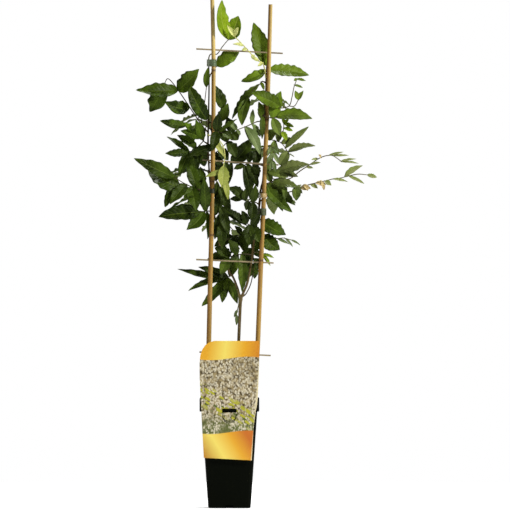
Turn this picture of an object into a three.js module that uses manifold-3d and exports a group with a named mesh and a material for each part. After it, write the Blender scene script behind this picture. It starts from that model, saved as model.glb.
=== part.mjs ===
// A young chinese wisteria in a tall square nursery pot, trained up a ladder of two bamboo canes.
// Millimetres, +Z up. The origin is the middle of the pot's base, on the surface it stands on.
// The front, with the plant card, faces -Y.

import * as THREE from "three";
import { mergeVertices } from "three/addons/utils/BufferGeometryUtils.js";
import Module from "manifold-3d";

const wasm = await Module();
wasm.setup();

// Driving dimensions

const gap = 0.3;              // clearance between touching pieces
const shortEdge = 0.3;       // edges shorter than this are closed up after fusing

const pot = {
  height: 219,
  baseHalf: 42.5,             // half the width at the foot
  bodyHalf: 55.5,             // half the width under the rim
  rimHalf: 59.5,
  rimHeight: 26,
  wall: 1.6,
  floor: 2.4,
  cornerRadius: 9,
  footChamfer: 3,
  channelWidth: 15,           // drain channels at the middle of each foot side
  channelHeight: 6,
  channelDepth: 9,
  drainRadius: 4,
  drainSpacing: 24,
  drainSides: 10,
  drainReach: 20,             // how far a drain is cut up and down from the foot
  footCornerCut: 2,           // how much tighter the corners are at the very foot
  rimStep: 0.6,               // small slopes at the foot and the top of the rim
  rimStepRise: 2,
  lip: 0.5,
  lipDrop: 1,
  ledge: 3,                   // where the inside steps in under the rim
  ledgeDrop: 1,
};

const hook = { width: 25, height: 5, out: 3.2, z: 193.5, sunk: 1 };   // lug on the rim for the card

const soil = {
  top: 203,
  bump: 2.2,
  seed: 3,
  rings: [1, 0.8, 0.55, 0.28],   // shares of the half width
  edgeDrop: 2,
  dip: 0.3,
};

const card = {
  thickness: 0.8,
  top: 334,
  bottomLeft: [-51, 101],
  bottomRight: [44.5, 96],
  slotWidth: 29,
  slotHeight: 7.5,
  slotBottom: 191.4,
  tongueDrop: 18,
  tongueGap: 3,               // from the slot down to the tongue's cut
  tongueCut: 1.2,
  rightEdge: [[48, 160], [52.5, 195], [57, 230], [59.4, 290]],
  leftEdge: [[-59.4, 290], [-59.2, 260], [-55, 175]],
  roundFrom: -30,             // the top left corner is rounded from here to the left edge
  roundDrop: 4,
  roundIn: 0.9,
  bend: 3.5,                  // where the right edge swings out to the rim's width
  bendRise: 10,
  curveSegments: 5,
};

const caneDepth = -6;          // the ladder stands a little in front of the pot's middle
const caneSides = 8;
const joint = { swell: 0.45, below: 5, above: 3 };   // how a cane thickens at its joints
const socket = { from: 90, low: 200, top: 230, play: 0.2 };   // the holes in the soil for the canes
const leftCane = {
  route: [[-41, 96], [-43.2, 200], [-42, 300], [-39, 435], [-36, 560], [-33.6, 680], [-32, 790],
    [-31.8, 900], [-34.4, 1018]],
  radii: [5.0, 4.0],
  joints: [287, 545, 652, 874],
};
const rightCane = {
  route: [[41, 96], [47.6, 200], [56.5, 325], [62.5, 480], [68, 605], [71, 690], [75, 780],
    [78.4, 870], [82, 1006]],
  radii: [5.0, 4.0],
  joints: [250, 494, 776],
};

const rungHalf = [1.6, 1.3];   // half the height and half the depth of a split stick
const rungHole = 2.3;
const rungHoleSides = 6;
const rungSteps = 3;
const rungTaper = 0.12;
const rungOutline = [[-1, -0.6], [-0.4, -1], [1, -1], [1, 0.5], [0.5, 1], [-1, 1]];   // [depth, height]
const rungs = [
  { name: "rung_top", from: [-67, 917], to: [107, 908] },
  { name: "rung_upper", from: [-55, 695], to: [99, 685] },
  { name: "rung_lower", from: [-67, 496], to: [89, 489] },
  { name: "rung_bottom", from: [-61, 311], to: [83, 304] },
];

// The woody vine: points along each stem, and its radius at both ends
const vine = {
  trunk: {
    points: [[16, 2, 158], [17, 2, 230], [18.6, 3, 335], [21, 4, 395], [23, 4, 421]],
    radii: [3.5, 2.9],
  },
  left: {
    points: [[22.5, 4, 417], [17, 4, 435], [13, 5, 447], [7, 7, 461], [-1, 9, 473], [-14, 11, 505],
      [-24, 11, 545], [-31, 9, 590], [-37, 6, 633], [-41, 4, 680], [-43, 2, 730], [-42, 1, 780],
      [-41, 0, 830], [-41, -1, 868]],
    radii: [2.4, 1.4],
  },
  right: {
    points: [[22.5, 4, 417], [28.5, 4, 431], [36, 6, 450], [43.5, 8, 490], [50, 7, 540], [58, 3, 590],
      [61, 2, 623], [62, 2.2, 634], [67, 3, 656], [69.5, 3.5, 692], [71, 3.5, 740], [69.5, 3.5, 792],
      [72.5, 3, 832], [73.5, 3, 870]],
    radii: [2.5, 1.4],
  },
};
const vineSides = 5;

// Bands that hold the stems to the canes: where the stem stands in the band, and the room it has
const ties = [
  {
    name: "clip_left_top", cane: leftCane, z: 889, height: 14,
    stemAt: [-41.4, -3.2], room: 3, tone: "clipGreen",
  },
  {
    name: "tie_left", cane: leftCane, z: 633, height: 9,
    stemAt: [-37, 6], room: 3, tone: "tieDark",
  },
  {
    name: "clip_right_upper", cane: rightCane, z: 624, height: 9,
    stemAt: [61, 2], room: 3, tone: "clipClear",
  },
  {
    name: "clip_right_low", cane: rightCane, z: 591, height: 14,
    stemAt: [58.1, 3], room: 4, tone: "clipGreen",
  },
];
const tieWall = 1.1;
const tieSlack = 0.85;
const tieTurns = { cane: 6, stem: 4 };   // steps round the cane's end and the stem's end of a band

// Foliage. A blade is cut across at the stations below, and each station has two edges and a rib.
const blade = {
  thickness: 0.8,
  sunk: 0.9,                  // how far a blade's root goes past the middle of its stalk
  arch: 0.07,
  fold: 0.16,
  wave: 0.05,
  sway: 26,                   // how far a blade may turn about its rib, in degrees
  waves: 11,                  // radians of wave from root to tip
  skew: 0.85,                 // below 1, the widest place lies nearer the root
  fullness: 0.75,             // below 1, the outline is fuller than a sine
};
const bladeStations = [
  { upTo: 24, at: [0.45] },
  { upTo: 54, at: [0.24, 0.66] },
  { upTo: 200, at: [0.14, 0.42, 0.76] },
];
const stalk = { root: 1.5, tip: 1.3, sides: 3 };

// Each leafy spray: where its stalk grows from, the points of its stalks, and its leaflets.
// A leaflet is [place along the stalk points, tip x, tip y, tip z, width, turn in degrees, bow],
// where bow is how far its rib curves to one side, as a share of its length.
const front = [0.1, -1, 0.5];

const sprays = [
  {
    name: "leaf_top_left", tone: "young", seed: 11,
    stalks: [
      [[-41, -1, 868.5], [-41.5, -4, 897], [-37, 4, 907], [-25, 5, 907], [-14, 1, 922], [-2, -6, 936]],
    ],
    leaflets: [[5, -15, -22, 1015, 27, 0, -0.12], [5, 18, -14, 983, 34, 0, 0.07]],
  },
  {
    name: "leaf_left_top", tone: "mid", seed: 60, root: ["left", 862],
    stalks: [[[-37, 6, 868], [-32, 7, 876], [-25, 5, 883]]],
    leaflets: [[3, 20, 4, 911, 31]],
  },
  {
    name: "leaf_left_high", tone: "mid", seed: 12, root: ["left", 752],
    stalks: [
      [[-57, -4, 767], [-80, -10, 801], [-103, -16, 835], [-122, -18, 857], [-130, -14, 847]],
      [[-57, -4, 767], [-51, -7, 800], [-46, -9, 841]],
    ],
    leaflets: [
      [2, -130, -34, 811, 29, 0, -0.15], [3, -60, -50, 876, 38, 0, 0.09], [3, -187, -38, 834, 31, 0, -0.06],
      [5, -160, 6, 791, 40, 0, -0.07], [8, -43, -14, 880, 13, 0, -0.05],
    ],
  },
  {
    name: "leaf_left_fan", tone: "mid", seed: 13, root: ["left", 728],
    stalks: [
      [[-52, -4, 733], [-66, -12, 748], [-87, -18, 764]],
      [[-52, -4, 733], [-66, 0, 719], [-80, 2, 711]],
      [[-52, -4, 733], [-48, -9, 755], [-45, -12, 775]],
    ],
    leaflets: [
      [3, -139, -34, 773, 19, 0, -0.07], [2.4, -92, -40, 768, 18, 0, -0.08], [1.5, -98, -40, 753, 20],
      [1.2, -68, -22, 776, 20],
      [9, -82, -30, 846, 30, 0, -0.05], [6, -126, 14, 742, 13], [5, -105, -8, 745, 20],
      [6, -129, -4, 708, 19, 0, -0.06], [6, -102, -8, 664, 20], [5, -62, -20, 690, 24],
      [5.6, -68, 17, 668, 24], [4.6, -50, 22, 682, 23],
    ],
  },
  {
    name: "leaf_left_mid", tone: "mid", seed: 14, root: ["left", 640],
    stalks: [
      [[-60, -2, 636], [-86, -10, 646], [-110, -16, 660]],
      [[-86, -10, 646], [-100, -8, 640]],
    ],
    leaflets: [
      [3, -191, -40, 698, 28, 0, -0.03], [5, -164, -4, 677, 44, 0, -0.1], [5, -129, -26, 600, 23, 0, 0.05],
      [2, -119, -31, 606, 25], [1.6, -66, -30, 592, 28], [1.2, -84, 2, 690, 26],
      [1.2, -92, -24, 618, 24], [1, -58, 14, 682, 24],
    ],
  },
  {
    name: "leaf_left_low", tone: "mid", seed: 15, root: ["left", 592],
    stalks: [[[-46, 2, 593], [-60, -6, 590]]],
    leaflets: [
      [2, -142, -24, 581, 34], [1.4, -86, -26, 555, 30, 0, -0.12], [1.2, -51, -22, 662, 22],
      [1, -62, 22, 648, 20], [1, -44, 8, 536, 12, 0, -0.05],
    ],
  },
  {
    name: "leaf_bottom_left", tone: "dark", seed: 16, root: ["left", 466],
    stalks: [[[2, 14, 463], [-3, 24, 461], [-6, 34, 459], [-8, 42, 457]]],
    leaflets: [
      [3, -105, 22, 477, 15, 0, -0.05], [2, -63, 12, 481, 18], [4, -83, 22, 433, 14, 0, 0.05],
      [3, -60, 26, 451, 12], [4, -56, 34, 402, 22, 0, -0.07], [4, -15, 44, 409, 18],
      [2.5, 16, 30, 407, 18], [3, -7, 18, 421, 12], [1.4, 16, 28, 516, 22],
    ],
  },
  {
    name: "leaf_low_centre", tone: "dark", seed: 17, root: ["right", 505],
    stalks: [[[32, 2, 507], [14, 2, 505], [-6, 2, 500]]],
    leaflets: [
      [3, -47, 13, 494, 19, 0, 0.04], [2.6, -30, 0, 520, 22], [2.8, -18, 5, 466, 22], [2, -2, -14, 536, 22],
      [1.4, 25, -1, 430, 21],
    ],
  },
  {
    name: "leaf_low_right", tone: "mid", seed: 18, root: ["right", 424],
    stalks: [[[34, 8, 429], [43.5, 14, 451], [49, 18, 488], [45, 20, 518]]],
    leaflets: [
      [3, 36, 26, 459, 17], [3, 50, 34, 457, 15], [3.3, 66, 26, 474, 20], [4, 22, 36, 490, 20],
      [4, 68, 24, 538, 24], [3.5, 26, 34, 470, 17], [4, 60, 26, 500, 15],
    ],
  },
  {
    name: "leaf_centre_low", tone: "dark", seed: 19, root: ["left", 530],
    stalks: [[[-8, 20, 534], [8, 24, 542], [24, 22, 546]]],
    leaflets: [
      [2, -31, 26, 522, 24], [1, -36, 30, 560, 20], [2.4, 4, 12, 508, 22], [3, 32, 14, 508, 22],
      [3, 64, 28, 552, 22], [3, 10, 18, 564, 13],
    ],
  },
  {
    name: "leaf_centre_drop", tone: "dark", seed: 20, root: ["left", 656],
    stalks: [[[-30, 10, 656], [-20, 8, 642], [-17, 3, 604], [-16, 2, 572]]],
    leaflets: [
      [2.4, -28, 4, 584, 20], [2, 2, 4, 588, 20], [3.4, -30, 12, 536, 20], [3, -1, -6, 544, 20],
      [4, -14, -6, 517, 22], [3.1, 36, -6, 563, 16], [1.5, -27, 14, 615, 14],
    ],
  },
  {
    name: "leaf_pale_centre", tone: "pale", seed: 21, root: ["left", 746],
    stalks: [
      [[-42, -14, 744], [-31, -27, 742], [-15, -26, 727], [-9, -20, 704], [-12, -16, 682], [-11, -14, 660]],
    ],
    leaflets: [
      [1.6, -10, -34, 700, 13], [5, -15, -18, 638, 24], [5.4, -49, -19, 661, 10], [6, -3, -14, 615, 13],
    ],
  },
  {
    name: "leaf_high_behind", tone: "dark", seed: 22, root: ["left", 770],
    stalks: [[[-24, 8, 772], [-12, 9, 797]]],
    leaflets: [[2, -33, 5, 846, 24], [1, -3, 2, 809, 22, 0, 0.12]],
  },
  {
    name: "leaf_front_left", tone: "dark", seed: 23, root: ["left", 760],
    stalks: [
      [[-43, -9, 760], [-38, -17, 757], [-26, -22, 752], [-12, -22, 748]],
      [[-38, -17, 757], [-31, -20, 738], [-27, -20, 722]],
    ],
    leaflets: [
      [7, -85, -30, 699, 20], [3, -22, -34, 788, 20], [3.4, 16, -30, 777, 9], [4, 6, -34, 736, 22],
      [3, -34, -36, 712, 20],
    ],
  },
  {
    name: "leaf_centre_high", tone: "dark", seed: 24, root: ["left", 705],
    stalks: [[[-34, 12, 706], [-20, 10, 716], [-4, 6, 732], [6, 2, 748]]],
    leaflets: [
      [4, 18, -4, 735, 26], [4, -6, 2, 782, 22], [3, 14, 0, 700, 24], [3, -26, 4, 762, 22],
      [2, -2, 2, 694, 22], [1.5, -24, 8, 676, 22],
    ],
  },
  {
    name: "leaf_centre_gap", tone: "dark", seed: 25, root: ["left", 690],
    stalks: [[[-34, 17, 690], [-16, 20, 692], [4, 18, 690]]],
    leaflets: [
      [3, 44, 14, 738, 31, 0, 0.07], [3, -4, 18, 642, 15], [2.5, -12, 14, 648, 18], [2, -28, 26, 652, 20],
    ],
  },
  {
    name: "leaf_centre_right", tone: "dark", seed: 26, root: ["right", 684],
    stalks: [[[50, 2, 688], [38, 1, 690], [30, 0, 684]]],
    leaflets: [
      [3, 41, 6, 615, 22], [2.5, 57, 10, 640, 18], [3, 8, 1, 676, 14], [3, 33, 4, 651, 11],
      [1, 56, 14, 716, 20], [1.2, 59, 8, 660, 16], [2, 43, 5, 714, 14],
    ],
  },
  {
    name: "leaf_inner_low", tone: "dark", seed: 27, root: ["right", 607],
    stalks: [[[52, -8, 610], [38, -12, 612], [25, -12, 616]]],
    leaflets: [
      [3, -3, -8, 640, 20, 0, 0.15], [3, 0, -6, 617, 13], [2, 33, -18, 594, 15], [1.4, 52, -18, 646, 18],
      [1.4, 44, -16, 571, 20], [2.6, 33, -16, 639, 14],
    ],
  },
  {
    name: "leaf_inner_base", tone: "dark", seed: 61, root: ["right", 560],
    stalks: [[[44, -6, 563], [35, -10, 568]]],
    leaflets: [
      [2, 24, -14, 594, 16], [2, -4, -16, 596, 14], [1, 62, -14, 588, 17], [1.5, 40, -14, 524, 24],
      [0.8, 60, -16, 530, 24],
    ],
  },
  {
    name: "leaf_right_top", tone: "mid", seed: 28,
    stalks: [[[73.5, 3.4, 871.2], [73.5, 7, 875], [74, 10, 884]]],
    leaflets: [[2, 48, 18, 971, 34], [1, 23, 6, 852, 21, 0, -0.09], [0.7, 160, 22, 865, 29]],
  },
  {
    name: "leaf_right_droop", tone: "dark", seed: 29, root: ["right", 850],
    stalks: [[[65, -7, 852], [60, -11, 846], [48, -16, 836], [38, -20, 818]]],
    leaflets: [[2, 5, -24, 776, 20, 34], [4, 25, -30, 763, 23, 0, 0.07], [1.5, 69, -14, 834, 8]],
  },
  {
    name: "leaf_right_front", tone: "mid", seed: 30, root: ["right", 786],
    stalks: [[[66, -12, 784], [78, -18, 780], [92, -18, 780], [101, -20, 802]]],
    leaflets: [
      [4, 43, -34, 829, 30], [2.4, 103, -8, 833, 26, 0, -0.03], [3, 166, -22, 777, 25, 0, -0.08],
      [3.2, 147, -10, 791, 14], [2.6, 101, -12, 743, 20], [1, 58, -14, 812, 12],
      [1, 65, -16, 736, 12],
    ],
  },
  {
    name: "leaf_inner_right", tone: "light", seed: 31, root: ["right", 770],
    stalks: [[[57, -5, 772], [45, -10, 767], [31, -14, 761], [15, -16, 755]]],
    leaflets: [
      [3, 61, -18, 705, 20, 0, -0.05], [2, 62, -11, 741, 12], [3, 48, -8, 722, 12], [2, 47, -8, 797, 10],
      [4, 22, -18, 744, 7], [4, -4, -24, 772, 12],
    ],
  },
  {
    name: "leaf_right_mid", tone: "mid", seed: 32, root: ["right", 738],
    stalks: [[[72, 9, 738], [90, 8, 734], [104, 4, 729], [117, 0, 711]]],
    leaflets: [
      [3.6, 159, -10, 762, 14], [4, 172, -14, 723, 16, 0, -0.05], [4, 100, 4, 684, 20],
      [1.3, 96, -6, 757, 20], [3, 128, 12, 738, 14], [2.5, 100, 20, 758, 14], [2, 84, 8, 698, 16],
    ],
  },
  {
    name: "leaf_right_level", tone: "mid", seed: 33, root: ["right", 676],
    stalks: [[[72, 10, 674], [84, 10, 672], [96, 8, 674]]],
    leaflets: [
      [3, 160, -12, 686, 26], [2.4, 138, 26, 662, 17], [1.5, 84, 24, 700, 18], [1.4, 118, 0, 660, 17],
      [1, 85, 14, 648, 15],
    ],
  },
  {
    name: "leaf_right_low", tone: "mid", seed: 34, root: ["right", 642],
    stalks: [[[70, 10, 644], [86, 8, 652], [108, 2, 648], [132, -4, 640]]],
    leaflets: [
      [2, 138, -12, 640, 22], [1.5, 132, 6, 604, 22], [1, 126, -6, 590, 24, 0, 0.05], [3, 111, -14, 615, 12],
      [4, 133, -14, 613, 19], [4, 146, 2, 628, 11], [1.4, 107, 2, 592, 18],
    ],
  },
  {
    name: "leaf_right_drop", tone: "mid", seed: 35, root: ["right", 574],
    stalks: [
      [[62, 12, 577], [66, 15, 573]],
      [[62, 12, 577], [64, 13, 560], [69, 11, 545]],
    ],
    leaflets: [[2, 113, 2, 545, 32, 0, 0.07], [5, 101, 4, 515, 31, 0, 0.1]],
  },
  {
    name: "shoot_right_top", tone: "young", seed: 36, root: ["right", 802],
    stalks: [
      [[80, 8, 801], [100, 6, 799], [119, 0, 803], [125, -4, 821], [129, -6, 841], [135, -8, 857]],
      [[119, 0, 803], [130, 0, 803], [138, -2, 816]],
    ],
    leaflets: [
      [6, 153, -8, 853, 6], [6, 128, -10, 853, 6], [5.2, 147, -8, 839, 6], [9, 131, -8, 834, 11],
      [9, 148, -4, 834, 9],
    ],
  },
  {
    name: "shoot_right_tuft", tone: "young", seed: 37, root: ["right", 752],
    stalks: [[[74, 12, 754], [91, 4, 755], [106, 0, 751], [109, -1, 768]]],
    leaflets: [
      [4, 129, -4, 761, 9], [3.5, 127, 0, 753, 9], [4, 104, -8, 782, 8], [3, 114, -8, 733, 12],
      [4, 119, -8, 776, 8],
    ],
  },
  {
    name: "shoot_right_fern", tone: "light", seed: 38, root: ["right", 720],
    stalks: [[[73, 9, 721], [82, 0, 724], [88, -14, 712], [86, -18, 694]]],
    leaflets: [
      [2.4, 76, -20, 702, 9], [2.4, 100, -20, 704, 9], [3.2, 74, -22, 686, 9], [3.2, 99, -24, 686, 9],
      [4, 80, -24, 672, 9], [4, 93, -26, 670, 9],
    ],
  },
  {
    name: "shoot_right_long", tone: "young", seed: 39, root: ["right", 660],
    stalks: [
      [[72, 14, 660], [98, 16, 656], [121, 12, 658], [141, 10, 673], [161, 6, 686], [177, 2, 697],
        [191, -2, 703], [205, -6, 704], [214, -8, 699], [225, -8, 691]],
    ],
    leaflets: [
      [7.5, 228, -12, 711, 5], [8.2, 239, -10, 704, 5], [9.8, 254, -8, 697, 5], [10, 259, -12, 687.5, 5],
      [5, 183, -4, 690, 6], [6, 163, -4, 695, 6], [6.4, 178, -8, 706, 6], [4.6, 168, 8, 679, 6],
    ],
  },
  {
    name: "shoot_right_level", tone: "young", seed: 40, root: ["right", 630],
    stalks: [
      [[72, 15, 629], [100, 13, 628], [131, 6, 634], [147, 0, 642], [173, -6, 649], [191, -8, 653],
        [207, -8, 657], [222, -9, 659], [238, -10, 663]],
      [[232, -9.5, 661.5], [256, -11, 666.5], [276, -13, 665]],
    ],
    leaflets: [
      [3.8, 163, -10, 638, 13], [4.2, 156, -14, 633, 10], [5, 193, -10, 645, 12], [4.6, 177, -4, 638, 9],
      [5.6, 189, -14, 634, 8], [6, 204, -12, 644, 10], [7, 237, -12, 651, 7],
      [8.5, 267, -14, 684, 12, 0, -0.07], [9, 270, -10, 647, 7], [12, 295, -14, 660, 9], [3, 144, 2, 646, 9],
    ],
  },
  {
    name: "shoot_right_low", tone: "light", seed: 41, root: ["right", 550],
    stalks: [[[66, 15, 546], [84, 14, 541], [96, 10, 538], [108, 7, 539], [123, 4, 535]]],
    leaflets: [[5, 142, 2, 524, 5], [4.2, 127, 2, 521, 5], [3, 121, 2, 526, 6]],
  },
  {
    name: "tuft_right_low", tone: "young", seed: 42, root: ["right", 512],
    stalks: [[[56, 12, 510], [66, 10, 506]]],
    leaflets: [[2, 89, 2, 499, 8], [2, 82, 6, 483, 8], [2, 80, 0, 492, 5]],
  },
  {
    name: "shoot_top_pale", tone: "pale", seed: 43, root: ["right", 861],
    stalks: [
      [[70, -8, 878], [66, -10, 889], [58, -12, 893], [45, -14, 905], [35, -14, 916], [21, -14, 931],
        [9, -20, 943], [6, -25, 953]],
    ],
    leaflets: [
      [7, -5, -30, 964, 10], [7, 18, -32, 960, 10], [5, 24, -18, 914, 8], [5.5, 6, -22, 926, 8],
      [4, 50, -18, 897, 8], [2, 56, -15, 882, 7], [3, 43, -18, 899, 8],
    ],
  },
  {
    name: "shoot_at_trunk", tone: "light", seed: 44, root: ["left", 437],
    stalks: [[[17, -4, 430], [19, -4, 413], [16, -5, 395], [14, -6, 386]]],
    leaflets: [[4, 14, -8, 364, 7], [3, 9, -7, 380, 6]],
  },
];

// Leaves on the far side follow one rule: pairs of leaflets spaced along an arching stalk
const rearLeaf = {
  seedStep: 100,
  length: 62,
  width: 25,
  stations: [0.3, 0.72],
  forward: 0.55,
  sideways: 0.8,
  droop: 0.35,
  arch: 0.09,
  fold: 0.2,
  ribHalf: 1.1,
  ribSpread: 1.4,             // half the rib between a pair of leaflets
  lengths: [0.88, 1.12],      // least and greatest share of the length, half width and lift
  halfWidths: [0.45, 0.55],
  lifts: [0.6, 1.4],
};
const rearSprays = [
  {
    name: "leaf_rear_left_high", seed: 51, root: ["left", 790],
    stalk: [[-56, 22, 786], [-64, 48, 778], [-70, 72, 766]],
  },
  {
    name: "leaf_rear_left_mid", seed: 52, root: ["left", 672],
    stalk: [[-56, 30, 676], [-76, 58, 680], [-96, 86, 672]],
  },
  {
    name: "leaf_rear_left_low", seed: 53, root: ["left", 610],
    stalk: [[-42, 36, 616], [-56, 64, 622], [-72, 90, 614]],
  },
  {
    name: "leaf_rear_centre", seed: 54, root: ["left", 572],
    stalk: [[-18, 38, 574], [-8, 66, 572], [6, 96, 556]],
  },
  {
    name: "leaf_rear_high", seed: 55, root: ["right", 815],
    stalk: [[75, 24, 820], [75, 50, 820], [72, 78, 808]],
  },
  {
    name: "leaf_rear_right_mid", seed: 56, root: ["right", 708],
    stalk: [[74, 32, 716], [72, 60, 722], [66, 86, 716]],
  },
  {
    name: "leaf_rear_right_low", seed: 57, root: ["right", 611],
    stalk: [[70, 36, 622], [78, 62, 630], [82, 90, 622]],
  },
];

const tones = {
  potBlack: { color: 0x12140f, roughness: 0.55 },
  soil: { color: 0x2c1d12, roughness: 0.95 },
  card: { color: 0xe2a83c, roughness: 0.35 },
  bamboo: { color: 0xb48c50, roughness: 0.55 },
  stick: { color: 0xa58a68, roughness: 0.7 },
  bark: { color: 0x4a3424, roughness: 0.85 },
  clipGreen: { color: 0x5c6650, roughness: 0.4 },
  clipClear: { color: 0xb9bdb2, roughness: 0.35 },
  tieDark: { color: 0x1c2216, roughness: 0.6 },
  dark: { color: 0x223a10, roughness: 0.5 },
  mid: { color: 0x35561a, roughness: 0.5 },
  light: { color: 0x62823c, roughness: 0.5 },
  young: { color: 0x7d9c12, roughness: 0.5 },
  pale: { color: 0xb9b95c, roughness: 0.55 },
};

// Small helpers

function vec(p) {
  return new THREE.Vector3(p[0], p[1], p[2]);
}

function seededDraws(seed) {
  let state = (seed * 7919) >>> 0;
  return () => {
    state = (Math.imul(state, 1664525) + 1013904223) >>> 0;
    return state / 4294967296;
  };
}

function within([low, high], share) {
  return low + (high - low) * share;
}

function closedGeometry(points, faces) {
  const geometry = new THREE.BufferGeometry();
  const numbers = points.flatMap((p) => [p.x, p.y, p.z]);
  geometry.setAttribute("position", new THREE.Float32BufferAttribute(numbers, 3));
  let volume = 0;
  const cross = new THREE.Vector3();
  for (const [a, b, c] of faces) {
    volume += points[a].dot(cross.crossVectors(points[b], points[c]));
  }
  const outward = volume > 0 ? faces : faces.map(([a, b, c]) => [a, c, b]);
  geometry.setIndex(outward.flat());
  return geometry;
}

function toSolid(geometry) {
  const bare = geometry.clone();
  bare.deleteAttribute("normal");
  bare.deleteAttribute("uv");
  const merged = mergeVertices(bare, 1e-4);
  return new wasm.Manifold(new wasm.Mesh({
    numProp: 3,
    vertProperties: new Float32Array(merged.attributes.position.array),
    triVerts: new Uint32Array(merged.index.array),
  }));
}

function toGeometry(manifold) {
  const mesh = manifold.getMesh();
  const geometry = new THREE.BufferGeometry();
  geometry.setAttribute("position", new THREE.Float32BufferAttribute(mesh.vertProperties, 3));
  geometry.setIndex(new THREE.Uint32BufferAttribute(mesh.triVerts, 1));
  geometry.computeVertexNormals();
  return geometry;
}

function fuse(geometries) {
  let solids = geometries.map(toSolid);
  while (solids.length > 1) {
    const joined = [];
    for (let i = 0; i < solids.length; i += 2) {
      joined.push(i + 1 < solids.length ? solids[i].add(solids[i + 1]) : solids[i]);
    }
    solids = joined;
  }
  return solids[0];
}

// Keeps the outer skin of the largest body, so a pocket sealed by crossing leaflets is filled
function outerSkin(geometry) {
  const index = geometry.index.array;
  const position = geometry.attributes.position.array;
  const parent = Array.from({ length: position.length / 3 }, (_, i) => i);
  const find = (i) => {
    let at = i;
    while (parent[at] !== at) {
      parent[at] = parent[parent[at]];
      at = parent[at];
    }
    return at;
  };
  for (let t = 0; t < index.length; t += 3) {
    parent[find(index[t + 1])] = find(index[t]);
    parent[find(index[t + 2])] = find(index[t]);
  }
  const corner = (i) => new THREE.Vector3().fromArray(position, i * 3);
  const volumes = new Map();
  for (let t = 0; t < index.length; t += 3) {
    const skin = find(index[t]);
    const bit = corner(index[t]).dot(corner(index[t + 1]).cross(corner(index[t + 2])));
    volumes.set(skin, (volumes.get(skin) ?? 0) + bit);
  }
  const [largest] = [...volumes.entries()].sort((a, b) => b[1] - a[1])[0];
  const kept = [];
  for (let t = 0; t < index.length; t += 3) {
    if (find(index[t]) === largest) {
      kept.push(index[t], index[t + 1], index[t + 2]);
    }
  }
  geometry.setIndex(kept);
  return geometry;
}

// Closes up the very short edges that fusing leaves where a leaflet meets its stalk
function closeShortEdges(geometry) {
  const index = geometry.index.array;
  const position = geometry.attributes.position;
  const parent = Array.from({ length: position.count }, (_, i) => i);
  const find = (i) => (parent[i] === i ? i : find(parent[i]));
  const corner = (i) => new THREE.Vector3().fromBufferAttribute(position, i);
  for (let t = 0; t < index.length; t += 3) {
    for (let k = 0; k < 3; k += 1) {
      const a = find(index[t + k]);
      const b = find(index[t + ((k + 1) % 3)]);
      if (a !== b && corner(a).distanceTo(corner(b)) < shortEdge) {
        parent[Math.max(a, b)] = Math.min(a, b);
      }
    }
  }
  const kept = new Map();
  for (let t = 0; t < index.length; t += 3) {
    const face = [find(index[t]), find(index[t + 1]), find(index[t + 2])];
    if (new Set(face).size === 3) {
      const key = [...face].sort((a, b) => a - b).join(" ");
      if (kept.has(key)) {
        kept.delete(key);
      } else {
        kept.set(key, face);
      }
    }
  }
  const closed = geometry.clone();
  closed.setIndex([...kept.values()].flat());
  return closed;
}

function piece(name, geometry, tone) {
  const material = new THREE.MeshStandardMaterial({ ...tones[tone], metalness: 0 });
  const mesh = new THREE.Mesh(geometry, material);
  mesh.name = name;
  return mesh;
}

// A solid lofted through rings of equal point counts, closed by a fan at each end
function loft(rings) {
  const points = [];
  const faces = [];
  const count = rings[0].length;
  rings.forEach((ring) => points.push(...ring));
  for (let r = 0; r + 1 < rings.length; r += 1) {
    for (let i = 0; i < count; i += 1) {
      const a = r * count + i;
      const b = r * count + ((i + 1) % count);
      faces.push([a, b, b + count], [a, b + count, a + count]);
    }
  }
  const ends = [[0, true], [rings.length - 1, false]];
  for (const [r, flip] of ends) {
    const centre = rings[r].reduce((sum, p) => sum.clone().add(p), new THREE.Vector3()).divideScalar(count);
    const hub = points.push(centre) - 1;
    for (let i = 0; i < count; i += 1) {
      const a = r * count + i;
      const b = r * count + ((i + 1) % count);
      faces.push(flip ? [hub, b, a] : [hub, a, b]);
    }
  }
  return closedGeometry(points, faces);
}

// A closed tube through points, with a radius for each of them
function tube(points, radii, sides, start = null) {
  const rings = [];
  const turn = new THREE.Quaternion();
  let side = null;
  let last = null;
  points.forEach((p, i) => {
    const before = points[Math.max(i - 1, 0)];
    const after = points[Math.min(i + 1, points.length - 1)];
    const ahead = start && i === 0 ? start : after.clone().sub(before).normalize();
    if (side === null) {
      const helper = Math.abs(ahead.z) > 0.9 ? new THREE.Vector3(1, 0, 0) : new THREE.Vector3(0, 0, 1);
      side = new THREE.Vector3().crossVectors(ahead, helper).normalize();
    } else {
      side.applyQuaternion(turn.setFromUnitVectors(last, ahead));
    }
    last = ahead;
    const other = new THREE.Vector3().crossVectors(ahead, side);
    rings.push(Array.from({ length: sides }, (_, k) => {
      const angle = (k / sides) * Math.PI * 2;
      return p.clone()
        .addScaledVector(side, Math.cos(angle) * radii[i])
        .addScaledVector(other, Math.sin(angle) * radii[i]);
    }));
  });
  return loft(rings);
}

function taper(count, [first, last]) {
  return Array.from({ length: count }, (_, i) => first + ((last - first) * i) / (count - 1));
}

// Pot, soil and card

function squareRing(half, radius, z) {
  const ring = [];
  const perCorner = 4;
  const corners = [[1, -1, -90], [1, 1, 0], [-1, 1, 90], [-1, -1, 180]];
  for (const [sx, sy, start] of corners) {
    for (let k = 0; k < perCorner; k += 1) {
      const angle = THREE.MathUtils.degToRad(start + (90 * k) / (perCorner - 1));
      ring.push(new THREE.Vector3(
        sx * (half - radius) + radius * Math.cos(angle),
        sy * (half - radius) + radius * Math.sin(angle),
        z,
      ));
    }
  }
  return ring;
}

function bodyHalfAt(z) {
  return pot.baseHalf + ((pot.bodyHalf - pot.baseHalf) * z) / (pot.height - pot.rimHeight);
}

function rimInnerHalf() {
  return pot.rimHalf - pot.wall;
}

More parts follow.
